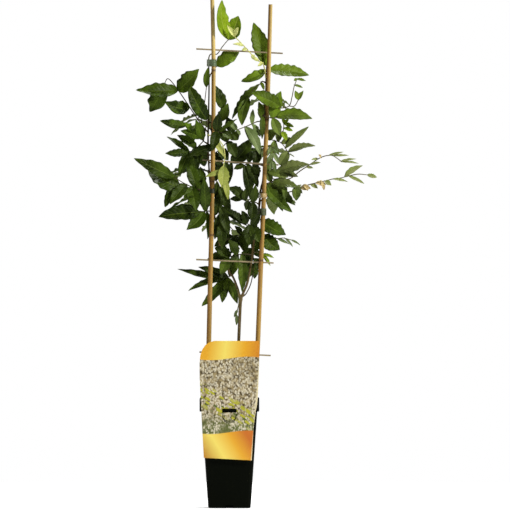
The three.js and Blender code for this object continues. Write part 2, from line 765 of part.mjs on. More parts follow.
function makePot() {
  const rimBottom = pot.height - pot.rimHeight;
  const inner = (z) => bodyHalfAt(z) - pot.wall;
  const r = pot.cornerRadius;
  const shell = loft([
    squareRing(pot.baseHalf - pot.footChamfer, r - pot.footCornerCut, 0),
    squareRing(pot.baseHalf, r, pot.footChamfer),
    squareRing(bodyHalfAt(rimBottom), r, rimBottom),
    squareRing(pot.rimHalf - pot.rimStep, r, rimBottom),
    squareRing(pot.rimHalf, r, rimBottom + pot.rimStepRise),
    squareRing(pot.rimHalf, r, pot.height - pot.lipDrop),
    squareRing(pot.rimHalf - pot.lip, r, pot.height),
    squareRing(rimInnerHalf(), r - pot.wall, pot.height),
    squareRing(rimInnerHalf(), r - pot.wall, rimBottom + pot.ledge),
    squareRing(inner(rimBottom), r - pot.wall, rimBottom - pot.ledgeDrop),
    squareRing(inner(pot.channelHeight + pot.floor), r - pot.wall, pot.channelHeight + pot.floor),
  ]);
  let body = toSolid(shell);
  const lug = new THREE.BoxGeometry(hook.width, hook.out + hook.sunk, hook.height);
  lug.translate(0, -pot.rimHalf - (hook.out - hook.sunk) / 2, hook.z + hook.height / 2);
  body = body.add(toSolid(lug));
  for (let side = 0; side < 4; side += 1) {
    const channel = new THREE.BoxGeometry(pot.channelWidth, pot.channelDepth * 2, pot.channelHeight * 2);
    channel.translate(0, -pot.baseHalf, 0);
    channel.rotateZ((side * Math.PI) / 2);
    body = body.subtract(toSolid(channel));
  }
  for (const [sx, sy] of [[1, 1], [1, -1], [-1, 1], [-1, -1]]) {
    const drain = new THREE.CylinderGeometry(
      pot.drainRadius, pot.drainRadius, pot.drainReach * 2, pot.drainSides,
    );
    drain.rotateX(Math.PI / 2);
    drain.translate(sx * pot.drainSpacing, sy * pot.drainSpacing, 0);
    body = body.subtract(toSolid(drain));
  }
  return piece("pot", toGeometry(body), "potBlack");
}

function makeSoil(holes) {
  const rimBottom = pot.height - pot.rimHeight;
  const inset = pot.wall + gap;
  const bottom = pot.channelHeight + pot.floor + gap;
  const radius = pot.cornerRadius - inset;
  const crumbs = seededDraws(soil.seed);
  const rings = [
    squareRing(bodyHalfAt(bottom) - inset, radius, bottom),
    squareRing(bodyHalfAt(rimBottom - pot.ledgeDrop) - inset, radius, rimBottom - pot.ledgeDrop + gap),
    squareRing(pot.rimHalf - inset, radius, rimBottom + pot.ledge + gap * 2),
  ];
  for (const share of soil.rings) {
    const ring = squareRing((pot.rimHalf - inset) * share, radius * share, soil.top);
    const rise = () => (share < 1 ? soil.bump * (crumbs() - soil.dip) : -soil.edgeDrop);
    rings.push(ring.map((p) => p.setZ(soil.top + rise())));
  }
  let body = toSolid(loft(rings));
  for (const hole of holes) {
    body = body.subtract(toSolid(hole));
  }
  return piece("soil", toGeometry(body), "soil");
}

function makeCard() {
  const outline = new THREE.Shape();
  const [low, shoulder, waist, high] = card.rightEdge;
  const [leftHigh, leftWaist, leftLow] = card.leftEdge;
  outline.moveTo(...card.bottomLeft);
  outline.lineTo(...card.bottomRight);
  outline.lineTo(...low);
  outline.lineTo(...shoulder);
  outline.quadraticCurveTo(shoulder[0] + card.bend, shoulder[1] + card.bendRise, ...waist);
  outline.lineTo(...high);
  outline.lineTo(high[0], card.top);
  outline.lineTo(card.roundFrom, card.top);
  outline.quadraticCurveTo(leftHigh[0] + card.roundIn, card.top - card.roundDrop, ...leftHigh);
  outline.lineTo(...leftWaist);
  outline.lineTo(...leftLow);
  outline.closePath();
  const halfSlot = card.slotWidth / 2;
  const slotTop = card.slotBottom + card.slotHeight;
  const slot = new THREE.Path();
  slot.moveTo(-halfSlot, card.slotBottom);
  slot.lineTo(-halfSlot, slotTop);
  slot.lineTo(halfSlot, slotTop);
  slot.lineTo(halfSlot, card.slotBottom);
  slot.closePath();
  const tongue = new THREE.Path();
  const tongueTop = card.slotBottom - card.tongueGap;
  const tongueEnd = card.slotBottom - card.tongueDrop;
  const cut = card.tongueCut;
  tongue.moveTo(-halfSlot, tongueTop);
  tongue.lineTo(-halfSlot + cut, tongueTop);
  tongue.quadraticCurveTo(-halfSlot + cut, tongueEnd + cut, 0, tongueEnd + cut);
  tongue.quadraticCurveTo(halfSlot - cut, tongueEnd + cut, halfSlot - cut, tongueTop);
  tongue.lineTo(halfSlot, tongueTop);
  tongue.quadraticCurveTo(halfSlot, tongueEnd, 0, tongueEnd);
  tongue.quadraticCurveTo(-halfSlot, tongueEnd, -halfSlot, tongueTop);
  outline.holes.push(slot, tongue);
  const plate = new THREE.ExtrudeGeometry(outline, {
    depth: card.thickness,
    bevelEnabled: false,
    curveSegments: card.curveSegments,
  });
  plate.rotateX(Math.PI / 2);
  plate.translate(0, -pot.rimHalf - gap, 0);
  return piece("plant_card", toGeometry(toSolid(plate)), "card");
}

// Ladder of canes and sticks

function alongRoute(route, z) {
  const last = route.length - 2;
  for (let i = 0; i <= last; i += 1) {
    const [x0, z0] = route[i];
    const [x1, z1] = route[i + 1];
    if (z <= z1 || i === last) {
      return x0 + ((x1 - x0) * (z - z0)) / (z1 - z0);
    }
  }
  return 0;
}

function caneRadiusAt(cane, z) {
  const bottom = cane.route[0][1];
  const top = cane.route[cane.route.length - 1][1];
  return cane.radii[0] + ((cane.radii[1] - cane.radii[0]) * (z - bottom)) / (top - bottom);
}

function caneStations(cane) {
  const heights = cane.route.map((p) => p[1]);
  const rings = heights.map((z) => ({ z, swell: 0 }));
  for (const z of cane.joints) {
    rings.push({ z: z - joint.below, swell: 0 }, { z, swell: joint.swell }, { z: z + joint.above, swell: 0 });
  }
  return rings.sort((a, b) => a.z - b.z);
}

function makeCane(name, cane, sticks) {
  const stations = caneStations(cane);
  const points = stations.map(({ z }) => new THREE.Vector3(alongRoute(cane.route, z), caneDepth, z));
  const radii = stations.map(({ z, swell }) => caneRadiusAt(cane, z) + swell);
  let body = toSolid(tube(points, radii, caneSides));
  for (const stick of sticks) {
    const [x0, z0] = stick.from;
    const [x1, z1] = stick.to;
    const ends = [new THREE.Vector3(x0, caneDepth, z0), new THREE.Vector3(x1, caneDepth, z1)];
    body = body.subtract(toSolid(tube(ends, [rungHole, rungHole], rungHoleSides)));
  }
  return piece(name, toGeometry(body), "bamboo");
}

function caneHole(cane) {
  const heights = [socket.from, socket.low, socket.top];
  const points = heights.map((z) => new THREE.Vector3(alongRoute(cane.route, z), caneDepth, z));
  const radii = points.map((p) => caneRadiusAt(cane, p.z) + gap + socket.play);
  return tube(points, radii, caneSides);
}

function makeRung({ name, from, to }) {
  const rings = [];
  for (let i = 0; i <= rungSteps; i += 1) {
    const t = i / rungSteps;
    const x = from[0] + (to[0] - from[0]) * t;
    const z = from[1] + (to[1] - from[1]) * t;
    const size = 1 - rungTaper * t;
    rings.push(rungOutline.map(([deep, high]) => new THREE.Vector3(
      x,
      caneDepth + deep * rungHalf[1] * size,
      z + high * rungHalf[0] * size,
    )));
  }
  return piece(name, loft(rings), "stick");
}

// A band round a cane and the stem beside it
function makeTie({ name, cane, z, height, stemAt, room, tone }) {
  const caneX = alongRoute(cane.route, z);
  const caneAt = new THREE.Vector2(caneX, caneDepth);
  const other = new THREE.Vector2(stemAt[0], stemAt[1]);
  const reach = other.clone().sub(caneAt);
  const outline = (extra) => {
    const caneRound = caneRadiusAt(cane, z) + tieSlack + extra;
    const stemRound = room + extra;
    const lean = Math.acos((caneRound - stemRound) / reach.length());
    const heading = Math.atan2(reach.y, reach.x);
    const points = [];
    for (let k = 0; k <= tieTurns.cane; k += 1) {
      const angle = heading + lean + ((Math.PI * 2 - 2 * lean) * k) / tieTurns.cane;
      points.push(new THREE.Vector2(Math.cos(angle), Math.sin(angle)).multiplyScalar(caneRound).add(caneAt));
    }
    for (let k = 0; k <= tieTurns.stem; k += 1) {
      const angle = heading - lean + (2 * lean * k) / tieTurns.stem;
      points.push(new THREE.Vector2(Math.cos(angle), Math.sin(angle)).multiplyScalar(stemRound).add(other));
    }
    return points;
  };
  const shape = new THREE.Shape(outline(tieWall));
  shape.holes.push(new THREE.Path(outline(0)));
  const band = new THREE.ExtrudeGeometry(shape, { depth: height, bevelEnabled: false });
  band.translate(0, 0, z - height / 2);
  return piece(name, toGeometry(toSolid(band)), tone);
}

// Vine

function stemAt(name, z) {
  const { points, radii } = vine[name];
  for (let i = 0; i + 1 < points.length; i += 1) {
    const [low, high] = [points[i], points[i + 1]];
    if (z <= high[2]) {
      const t = (z - low[2]) / (high[2] - low[2]);
      const share = (i + t) / (points.length - 1);
      return {
        centre: vec(low).lerp(vec(high), t),
        radius: radii[0] + (radii[1] - radii[0]) * share,
        heading: vec(high).sub(vec(low)).normalize(),
      };
    }
  }
  return { centre: vec(points[points.length - 1]), radius: radii[1], heading: new THREE.Vector3(0, 0, 1) };
}

function vineTube({ points, radii }) {
  return tube(points.map(vec), taper(points.length, radii), vineSides);
}

function makeVine() {
  const stems = [vine.trunk, vine.left, vine.right].map(vineTube);
  return piece("vine", toGeometry(fuse(stems)), "bark");
}

function trunkHole() {
  const [low, high] = vine.trunk.points.map(vec);
  const lift = high.clone().sub(low).normalize();
  const start = low.clone().addScaledVector(lift, -gap - socket.play);
  const round = vine.trunk.radii[0] + gap + socket.play;
  return tube([start, high], [round, round], caneSides);
}

// Foliage

function bladeHalf(s) {
  return Math.sin(Math.PI * s ** blade.skew) ** blade.fullness;
}

function makeBlade({ from, tip, width, turn, bow, draw }) {
  const along = tip.clone().sub(from).normalize();
  const root = from.clone().addScaledVector(along, -blade.sunk);
  const length = tip.distanceTo(root);
  const normal = vec(front);
  normal.addScaledVector(along, -normal.dot(along)).normalize();
  const swing = turn + blade.sway * (draw() - 0.5);
  normal.applyAxisAngle(along, THREE.MathUtils.degToRad(swing));
  const side = new THREE.Vector3().crossVectors(along, normal);
  const phase = draw() * Math.PI * 2;
  const stations = bladeStations.find(({ upTo }) => length < upTo).at;
  const rib = (s) => root.clone()
    .addScaledVector(along, length * s)
    .addScaledVector(normal, blade.arch * length * 4 * s * (1 - s))
    .addScaledVector(side, bow * length * 4 * s * (1 - s));
  const edge = (s, hand) => {
    const half = bladeHalf(s) * (width / 2);
    const lift = blade.fold * half + blade.wave * width * Math.sin(phase + hand + s * blade.waves);
    return rib(s).addScaledVector(side, hand * half).addScaledVector(normal, lift);
  };
  const middle = [root];
  stations.forEach((s) => middle.push(edge(s, -1), rib(s), edge(s, 1)));
  middle.push(rib(1));
  const count = middle.length;
  const last = count - 1;
  const upper = [[0, 2, 1], [0, 3, 2]];
  const rim = [];
  const otherRim = [];
  stations.forEach((_, i) => {
    const row = 1 + i * 3;
    rim.push(row);
    otherRim.unshift(row + 2);
    if (i + 1 < stations.length) {
      upper.push([row, row + 1, row + 4], [row, row + 4, row + 3]);
      upper.push([row + 1, row + 2, row + 4], [row + 2, row + 5, row + 4]);
    } else {
      upper.push([row, row + 1, last], [row + 1, row + 2, last]);
    }
  });
  const loop = [0, ...rim, last, ...otherRim];
  const points = [
    ...middle.map((p) => p.clone().addScaledVector(normal, blade.thickness / 2)),
    ...middle.map((p) => p.clone().addScaledVector(normal, -blade.thickness / 2)),
  ];
  const faces = upper.flatMap(([a, b, c]) => [[a, b, c], [c + count, b + count, a + count]]);
  loop.forEach((a, i) => {
    const b = loop[(i + 1) % loop.length];
    faces.push([a, b, b + count], [a, b + count, a + count]);
  });
  return closedGeometry(points, faces);
}

function placeAlong(points, place) {
  const low = Math.min(Math.floor(place), points.length - 1);
  const high = Math.min(low + 1, points.length - 1);
  return points[low].clone().lerp(points[high], place - low);
}

// A stalk starts square to the stem it grows from, just clear of the bark
function rootOf([stem, z], toward) {
  const { centre, radius, heading } = stemAt(stem, z);
  const away = toward.clone().sub(centre);
  away.addScaledVector(heading, -away.dot(heading)).normalize();
  return { point: centre.addScaledVector(away, radius + gap), away };
}

function makeSpray({ name, tone, seed, root, stalks, leaflets }) {
  const draw = seededDraws(seed);
  const lines = stalks.map((line) => line.map(vec));
  let start = null;
  if (root) {
    const { point, away } = rootOf(root, lines[0][0]);
    lines[0].unshift(point);
    start = away;
  }
  const bodies = lines.map((line, i) => {
    const thick = i === 0 ? stalk.root : (stalk.root + stalk.tip) / 2;
    return tube(line, taper(line.length, [thick, stalk.tip]), stalk.sides, i === 0 ? start : null);
  });
  const nodes = lines.flat();
  for (const [place, x, y, z, width, turn = 0, bow = 0] of leaflets) {
    bodies.push(makeBlade({ from: placeAlong(nodes, place), tip: vec([x, y, z]), width, turn, bow, draw }));
  }
  return piece(name, closeShortEdges(outerSkin(toGeometry(fuse(bodies)))), tone);
}

// One thin arched blade cut to its rib: a leaflet at the tip and a pair at each bend of the rib.
// Each side of the rib, and each leaflet, is a strip of the same closed skin.
function makeRearSpray({ name, seed, root, stalk: line }) {
  const draw = seededDraws(seed + rearLeaf.seedStep);
  const { point } = rootOf(root, vec(line[0]));
  const ribPoints = [point, ...line.map(vec)];
  const up = new THREE.Vector3(0, 0, 1);
  const top = [];
  const faces = [];
  const outline = { left: [], right: [] };
  const headingAt = (i) => ribPoints[Math.min(i + 1, ribPoints.length - 1)].clone()
    .sub(ribPoints[Math.max(i - 1, 0)]).normalize();
  const sideAt = (i) => new THREE.Vector3().crossVectors(headingAt(i), up).normalize();

  // Adds a leaflet beyond the two root points and gives back its edge, from one root to the other
  const addLeaflet = (from, to, heading, flip = false) => {
    const add = (...face) => faces.push(flip ? face.reverse() : face);
    const base = top[from].clone().add(top[to]).multiplyScalar(0.5);
    const across = top[to].clone().sub(top[from]).normalize();
    const length = rearLeaf.length * within(rearLeaf.lengths, draw());
    const half = rearLeaf.width * within(rearLeaf.halfWidths, draw());
    const side = across.addScaledVector(heading, -across.dot(heading)).normalize();
    const normal = new THREE.Vector3().crossVectors(side, heading);
    normal.multiplyScalar(Math.sign(normal.z) || 1);
    let row = [from, null, to];
    const near = [];
    const far = [];
    for (const s of rearLeaf.stations) {
      const centre = base.clone().addScaledVector(heading, length * s)
        .addScaledVector(normal, rearLeaf.arch * length * 4 * s * (1 - s));
      const wide = half * bladeHalf(s);
      const lift = rearLeaf.fold * wide * within(rearLeaf.lifts, draw());
      const edges = [-1, 1].map((hand) => centre.clone().addScaledVector(side, hand * wide)
        .addScaledVector(normal, lift));
      const first = top.push(edges[0], centre, edges[1]) - 3;
      const next = [first, first + 1, first + 2];
      if (row[1] === null) {
        add(row[0], next[1], next[0]);
        add(row[0], row[2], next[1]);
      } else {
        add(row[0], row[1], next[1]);
        add(row[0], next[1], next[0]);
        add(row[1], row[2], next[1]);
      }
      add(row[2], next[2], next[1]);
      near.push(next[0]);
      far.unshift(next[2]);
      row = next;
    }
    const tip = top.push(base.clone().addScaledVector(heading, length)) - 1;
    add(row[0], row[1], tip);
    add(row[1], row[2], tip);
    return [...near, tip, ...far];
  };

  ribPoints.forEach((p, i) => {
    const isLast = i === ribPoints.length - 1;
    const spread = i > 0 && !isLast ? [-rearLeaf.ribSpread, rearLeaf.ribSpread] : [0];
    for (const step of spread) {
      const centre = p.clone().addScaledVector(headingAt(i), step);
      outline.left.push(top.push(centre.clone().addScaledVector(sideAt(i), -rearLeaf.ribHalf)) - 1);
      outline.right.push(top.push(centre.clone().addScaledVector(sideAt(i), rearLeaf.ribHalf)) - 1);
    }
  });
  for (let i = 0; i + 1 < outline.left.length; i += 1) {
    const [a, b] = [outline.left[i], outline.right[i]];
    const [c, d] = [outline.left[i + 1], outline.right[i + 1]];
    faces.push([a, b, d], [a, d, c]);
  }
  const leftEdge = [...outline.left];
  const rightEdge = [...outline.right];
  for (let i = ribPoints.length - 2; i > 0; i -= 1) {
    for (const [edge, hand] of [[leftEdge, -1], [rightEdge, 1]]) {
      const at = 2 * i - 1;
      const heading = headingAt(i).multiplyScalar(rearLeaf.forward)
        .addScaledVector(sideAt(i), hand * rearLeaf.sideways)
        .addScaledVector(up, -rearLeaf.droop)
        .normalize();
      const along = addLeaflet(edge[at], edge[at + 1], heading, hand === 1);
      edge.splice(at + 1, 0, ...along);
    }
  }
  const end = ribPoints.length - 1;
  const ahead = headingAt(end).addScaledVector(up, -rearLeaf.droop).normalize();
  const tipEdge = addLeaflet(leftEdge[leftEdge.length - 1], rightEdge[rightEdge.length - 1], ahead);
  const loop = [...leftEdge, ...tipEdge, ...rightEdge.reverse()];
  return piece(name, thicken(top, faces, loop), "mid");
}

// Gives a skin a thickness: every face again below it, and a wall along its edge
function thicken(top, faces, loop) {
  const count = top.length;
  const normals = top.map(() => new THREE.Vector3());
  const plane = new THREE.Vector3();
  for (const [a, b, c] of faces) {
    plane.crossVectors(top[b].clone().sub(top[a]), top[c].clone().sub(top[a])).normalize();
    for (const i of [a, b, c]) {
      normals[i].addScaledVector(plane, Math.sign(plane.z) || 1);
    }
  }
  const below = top.map((p, i) => p.clone().addScaledVector(normals[i].normalize(), -blade.thickness));
  const all = faces.flatMap(([a, b, c]) => [[a, b, c], [c + count, b + count, a + count]]);
  loop.forEach((a, i) => {
    const b = loop[(i + 1) % loop.length];
    all.push([a, b, b + count], [a, b + count, a + count]);
  });
  return closedGeometry([...top, ...below], all);
}

const plant = new THREE.Group();
plant.add(makePot());
plant.add(makeSoil([caneHole(leftCane), caneHole(rightCane), trunkHole()]));
plant.add(makeCard());
plant.add(makeCane("cane_left", leftCane, rungs));
plant.add(makeCane("cane_right", rightCane, rungs));
rungs.forEach((rung) => plant.add(makeRung(rung)));
ties.forEach((tie) => plant.add(makeTie(tie)));
plant.add(makeVine());
sprays.forEach((spray) => plant.add(makeSpray(spray)));
rearSprays.forEach((spray) => plant.add(makeRearSpray(spray)));

export default plant;
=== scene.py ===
# A young chinese wisteria in a tall square nursery pot, trained up a ladder of two bamboo canes.
# Places are written in millimetres, as on the drawing, and turned to metres where a mesh is made.

import math

import bmesh
import bpy
from mathutils import Matrix, Quaternion, Vector, noise


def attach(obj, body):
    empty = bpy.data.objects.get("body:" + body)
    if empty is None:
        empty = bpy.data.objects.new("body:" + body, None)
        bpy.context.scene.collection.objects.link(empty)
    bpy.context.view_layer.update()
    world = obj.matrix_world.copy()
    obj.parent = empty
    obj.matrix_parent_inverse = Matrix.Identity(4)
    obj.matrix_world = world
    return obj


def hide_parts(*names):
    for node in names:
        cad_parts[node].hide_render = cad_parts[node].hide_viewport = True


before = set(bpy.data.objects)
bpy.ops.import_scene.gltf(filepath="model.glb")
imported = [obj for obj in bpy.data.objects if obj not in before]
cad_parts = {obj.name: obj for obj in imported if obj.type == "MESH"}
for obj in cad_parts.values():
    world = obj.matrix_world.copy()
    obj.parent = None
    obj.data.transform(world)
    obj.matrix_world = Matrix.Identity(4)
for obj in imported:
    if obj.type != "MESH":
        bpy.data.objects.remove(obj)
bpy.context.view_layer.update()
millimetre = 0.001
print("frame loaded:", len(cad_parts), "nodes")


# Sums on sockets, and finishes

def plug(slot, value):
    if isinstance(value, Wire):
        value.tree.links.new(value.socket, slot)
    elif slot.type == "RGBA":
        slot.default_value = (*value[:3], 1.0)
    else:
        slot.default_value = value


def mathsBy(operation, flipped=False):
    return lambda wire, other: wire.maths(operation, other, flipped=flipped)


class Wire:           # one output socket, so that shader sums read as sums
    def __init__(self, socket):
        self.socket = socket
        self.tree = socket.id_data

    def maths(self, operation, *others, clamp=False, flipped=False):
        node = self.tree.nodes.new("ShaderNodeMath")
        node.operation = operation
        node.use_clamp = clamp
        for slot, value in zip(node.inputs, [*others, self] if flipped else [self, *others]):
            plug(slot, value)
        return Wire(node.outputs[0])

    __add__ = __radd__ = mathsBy("ADD")
    __mul__ = __rmul__ = mathsBy("MULTIPLY")
    __sub__ = mathsBy("SUBTRACT")
    __rsub__ = mathsBy("SUBTRACT", flipped=True)
    __truediv__ = mathsBy("DIVIDE")
    __pow__ = mathsBy("POWER")

    def __abs__(self):
        return self.maths("ABSOLUTE")

    def clipped(self):
        return self.maths("ADD", 0.0, clamp=True)

    def between(self, low, high):      # 0 below low, 1 above high, smooth in between
        node = self.tree.nodes.new("ShaderNodeMapRange")
        node.interpolation_type = "SMOOTHSTEP"
        for name, value in (("Value", self), ("From Min", low), ("From Max", high)):
            plug(node.inputs[name], value)
        return Wire(node.outputs[0])


def screenColour(colour):              # from a screen's 0 to 255 to the values that light has
    shares = [value / 255 for value in colour]
    return tuple(v / 12.92 if v <= 0.04045 else ((v + 0.055) / 1.055) ** 2.4 for v in shares)


class Finish:         # a material, with the colours of its look by name and its colour laid on in coats
    def __init__(self, name, look, **fixed):
        self.material = bpy.data.materials.new(name)
        self.material.use_nodes = True
        self.tree = self.material.node_tree
        self.tree.nodes.clear()
        end = self.tree.nodes.new("ShaderNodeOutputMaterial")
        self.shader = self.tree.nodes.new("ShaderNodeBsdfPrincipled")
        self.tree.links.new(self.shader.outputs[0], end.inputs[0])
        for key, value in fixed.items():
            plug(self.shader.inputs[key.replace("_", " ")], value)
        self.look = look
        self.tones = {key: screenColour(value) for key, value in look.items()
                      if isinstance(value, tuple) and len(value) == 3}

    def tone(self, colour):
        return self.tones[colour] if isinstance(colour, str) else colour

    def node(self, kind, settings={}, sockets={}, output=0):
        made = self.tree.nodes.new("ShaderNode" + kind)
        for key, value in settings.items():
            if key == "stops":
                while len(made.color_ramp.elements) < len(value):
                    made.color_ramp.elements.new(1.0)
                for stop, (place, colour) in zip(made.color_ramp.elements, value):
                    stop.position = place
                    stop.color = (*self.tone(colour), 1.0)
            else:
                setattr(made, key, value)
        for key, value in sockets.items():
            plug(made.inputs[key], value)
        return Wire(made.outputs[output])

    def spot(self, at=None):           # where a pattern is read: at the place, or the place times at
        place = self.node("TexCoord", output="Object")
        if isinstance(at, tuple):
            return self.node("VectorMath", {"operation": "MULTIPLY"}, {0: place, 1: at})
        return at or place

    def axis(self, name, of="Object"):
        return self.node("SeparateXYZ", {}, {0: self.node("TexCoord", output=of)}, name)

    def read(self, mark):
        return self.node("Attribute", {"attribute_name": mark}, output="Fac")

    def cloud(self, scale, detail=3.0, rough=0.5, at=None):
        sockets = {"Vector": self.spot(at), "Scale": scale, "Detail": detail, "Roughness": rough}
        return self.node("TexNoise", {}, sockets)

    def cells(self, scale, feature="F1", output="Distance", at=None):
        sockets = {"Vector": self.spot(at), "Scale": scale}
        return self.node("TexVoronoi", {"feature": feature}, sockets, output)

    def mix(self, share, first, second, blend="MIX"):
        sockets = {0: share, 6: self.tone(first), 7: self.tone(second)}
        return self.node("Mix", {"data_type": "RGBA", "blend_type": blend}, sockets, 2)

    def coat(self, share, colour):
        self.colour = self.mix(share, self.colour, colour)

    def finish(self, uneven=0.0, height=None):       # uneven is added to the roughness of the look
        plug(self.shader.inputs["Base Color"], self.colour)
        plug(self.shader.inputs["Roughness"], uneven + self.look["roughness"])
        if height is not None:
            depth, strength = self.look["relief"]
            bump = self.node("Bump", {}, {"Strength": strength, "Distance": depth, "Height": height})
            plug(self.shader.inputs["Normal"], bump)
        return self.material


# Meshes

marks = ("across", "along", "shade", "under")      # values on the points, which the finishes read


def seededDraws(seed):
    state = [(seed * 7919) & 0xFFFFFFFF]

    def draw():
        state[0] = (state[0] * 1664525 + 1013904223) & 0xFFFFFFFF
        return state[0] / 4294967296
    return draw


def hump(distance, width):
    return math.exp(-(distance / width) ** 2)


def clip(value):
    return min(max(value, 0.0), 1.0)


def anglesRound(count):
    return [2 * math.pi * k / count for k in range(count)]


def spoke(angle):
    return Vector((math.cos(angle), math.sin(angle), 0))


def blend(ends, share):                # from the first of two values to the second
    return ends[0] + (ends[1] - ends[0]) * share


def vectors(points):
    return [Vector(p) for p in points]


def meshOf(name, points, faces):
    mesh = bpy.data.meshes.new(name)
    mesh.from_pydata([p * millimetre for p in points], [], faces)
    return mesh


def addObject(name, data):
    made = bpy.data.objects.new(name, data)
    bpy.context.scene.collection.objects.link(made)
    return made


class Pile:          # the shells that make up one piece
    def __init__(self):
        self.points, self.faces, self.slots = [], [], []
        self.marks = {mark: [] for mark in marks}

    def add(self, points, faces, slot=0, **given):
        first = len(self.points)
        self.points += points
        self.faces += [tuple(first + i for i in face) for face in faces]
        self.slots += [slot] * len(faces)
        for mark in marks:
            values = given.get(mark, 0.0)
            self.marks[mark] += values if isinstance(values, list) else [values] * len(points)

    def build(self, name, materials, node, sharp=None):
        mesh = meshOf(name, self.points, self.faces)
        mesh.polygons.foreach_set("material_index", self.slots)
        mesh.polygons.foreach_set("use_smooth", [True] * len(self.faces))
        for mark in marks:
            if any(self.marks[mark]):
                mesh.attributes.new(mark, "FLOAT", "POINT").data.foreach_set("value", self.marks[mark])
        mesh.validate()
        turned = bmesh.new()
        turned.from_mesh(mesh)
        bmesh.ops.recalc_face_normals(turned, faces=turned.faces)
        turned.to_mesh(mesh)
        turned.free()
        if sharp:
            mesh.set_sharp_from_angle(angle=math.radians(sharp))
        for material in materials:
            mesh.materials.append(material)
        piece = addObject(name, mesh)
        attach(piece, "root")
        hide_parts(node)
        return piece


def addLoft(pile, rings, slot=0, closed=False, **given):
    count, total = len(rings[0]), len(rings) * len(rings[0])
    faces = []
    for start in range(0, total if closed else total - count, count):
        for i in range(count):
            a, b = start + i, start + (i + 1) % count
            faces.append((a, b, (b + count) % total, (a + count) % total))
    if not closed:
        faces += [tuple(range(count))[::-1], tuple(range(total - count, total))]
    pile.add([p for ring in rings for p in ring], faces, slot, **given)


def curvePoint(points, place):        # on a smooth line through the points
    low = min(int(place), len(points) - 2)
    t = place - low
    p1, p2 = points[low], points[low + 1]
    p0 = points[low - 1] if low > 0 else p1 - (p2 - p1)
    p3 = points[low + 2] if low + 2 < len(points) else p2 + (p2 - p1)
    pull1, pull2 = (p2 - p0) * 0.5, (p3 - p1) * 0.5
    return (p1 * (2 * t ** 3 - 3 * t ** 2 + 1) + pull1 * (t ** 3 - 2 * t ** 2 + t)
            + p2 * (3 * t ** 2 - 2 * t ** 3) + pull2 * (t ** 3 - t ** 2))


def smoothLine(points, steps):
    count = (len(points) - 1) * steps
    return [curvePoint(points, i / steps) for i in range(count + 1)]


def tubeFrames(points):                # each point, with two directions across the line there
    frames = []
    side = None
    for i, point in enumerate(points):
        ahead = (points[min(i + 1, len(points) - 1)] - points[max(i - 1, 0)]).normalized()
        if side is None:
            side = ahead.cross(Vector((1, 0, 0)) if abs(ahead.z) > 0.9 else Vector((0, 0, 1))).normalized()
        else:
            side = (side - ahead * side.dot(ahead)).normalized()
        frames.append((point, side, ahead.cross(side)))
    return frames


def addTube(pile, points, radii, sides, slot=0, shape=lambda i, angle: 1):
    rings = []
    for i, (point, side, other) in enumerate(tubeFrames(points)):
        ring = []
        for angle in anglesRound(sides):
            radius = radii[i] * shape(i, angle)
            ring.append(point + side * (math.cos(angle) * radius) + other * (math.sin(angle) * radius))
        rings.append(ring)
    addLoft(pile, rings, slot)


# Pot

potPlastic = dict(face=(3, 5, 1), dust=(11, 12, 5), roughness=0.6, relief=[0.00012, 0.5], sharp=38)
potSize = dict(height=219, baseHalf=42.5, bodyHalf=55.5, rimHalf=59.5, rimHeight=26, wall=1.6, floorTop=8.4,
               corner=9, footChamfer=3, channelWidth=15, channelHeight=6, channelDepth=9, drain=4, drainAt=24,
               drainReach=20, drainSides=24, lugWidth=25, lugHeight=5, lugOut=3.2, lugZ=193.5, lugEdge=0.7,
               turns=9)
rimBottom = potSize["height"] - potSize["rimHeight"]
boxFaces = [(3, 2, 1, 0), (4, 5, 6, 7), (0, 1, 5, 4), (1, 2, 6, 5), (2, 3, 7, 6), (3, 0, 4, 7)]


def potFinish():
    f = Finish("potPlastic", potPlastic, Specular_IOR_Level=0.035)
    streaks = f.cloud(260, 4, at=(1, 1, 0.08))
    low = 1 - f.axis("Z").between(0.0, 0.05)
    dust = (f.cloud(35, 5, 0.65).between(0.52, 0.8) * 0.22 + low * 0.1).clipped()
    f.colour = f.mix(dust, "face", "dust")
    return f.finish((streaks - 0.5) * 0.25 + dust * 0.5, f.cloud(2600, 2) * 0.4 + streaks * 0.6)


def squareRing(half, radius, z):
    turns = potSize["turns"]
    ring = []
    for sx, sy, start in ((1, -1, -90), (1, 1, 0), (-1, 1, 90), (-1, -1, 180)):
        for k in range(turns):
            arc = spoke(math.radians(start + 90 * k / (turns - 1))) * radius
            ring.append(Vector((sx * (half - radius), sy * (half - radius), z)) + arc)
    return ring


def bodyHalfAt(z):
    return blend((potSize["baseHalf"], potSize["bodyHalf"]), z / rimBottom)


def boxCutter(low, high, turn=0):
    corners = [(x, y, z) for z in (low[2], high[2])
               for x, y in ((low[0], low[1]), (high[0], low[1]), (high[0], high[1]), (low[0], high[1]))]
    spin = Matrix.Rotation(math.radians(turn), 3, "Z")
    return addObject("cutter", meshOf("cutter", [spin @ corner for corner in vectors(corners)], boxFaces))


def carve(piece, tools, operation="DIFFERENCE"):
    for tool in tools:
        cut = piece.modifiers.new("cut", "BOOLEAN")
        cut.operation = operation
        cut.solver = "EXACT"
        cut.object = tool
    bpy.context.view_layer.update()
    shaped = bpy.data.meshes.new_from_object(piece.evaluated_get(bpy.context.evaluated_depsgraph_get()))
    piece.modifiers.clear()
    piece.data = shaped
    for tool in tools:
        bpy.data.objects.remove(tool)


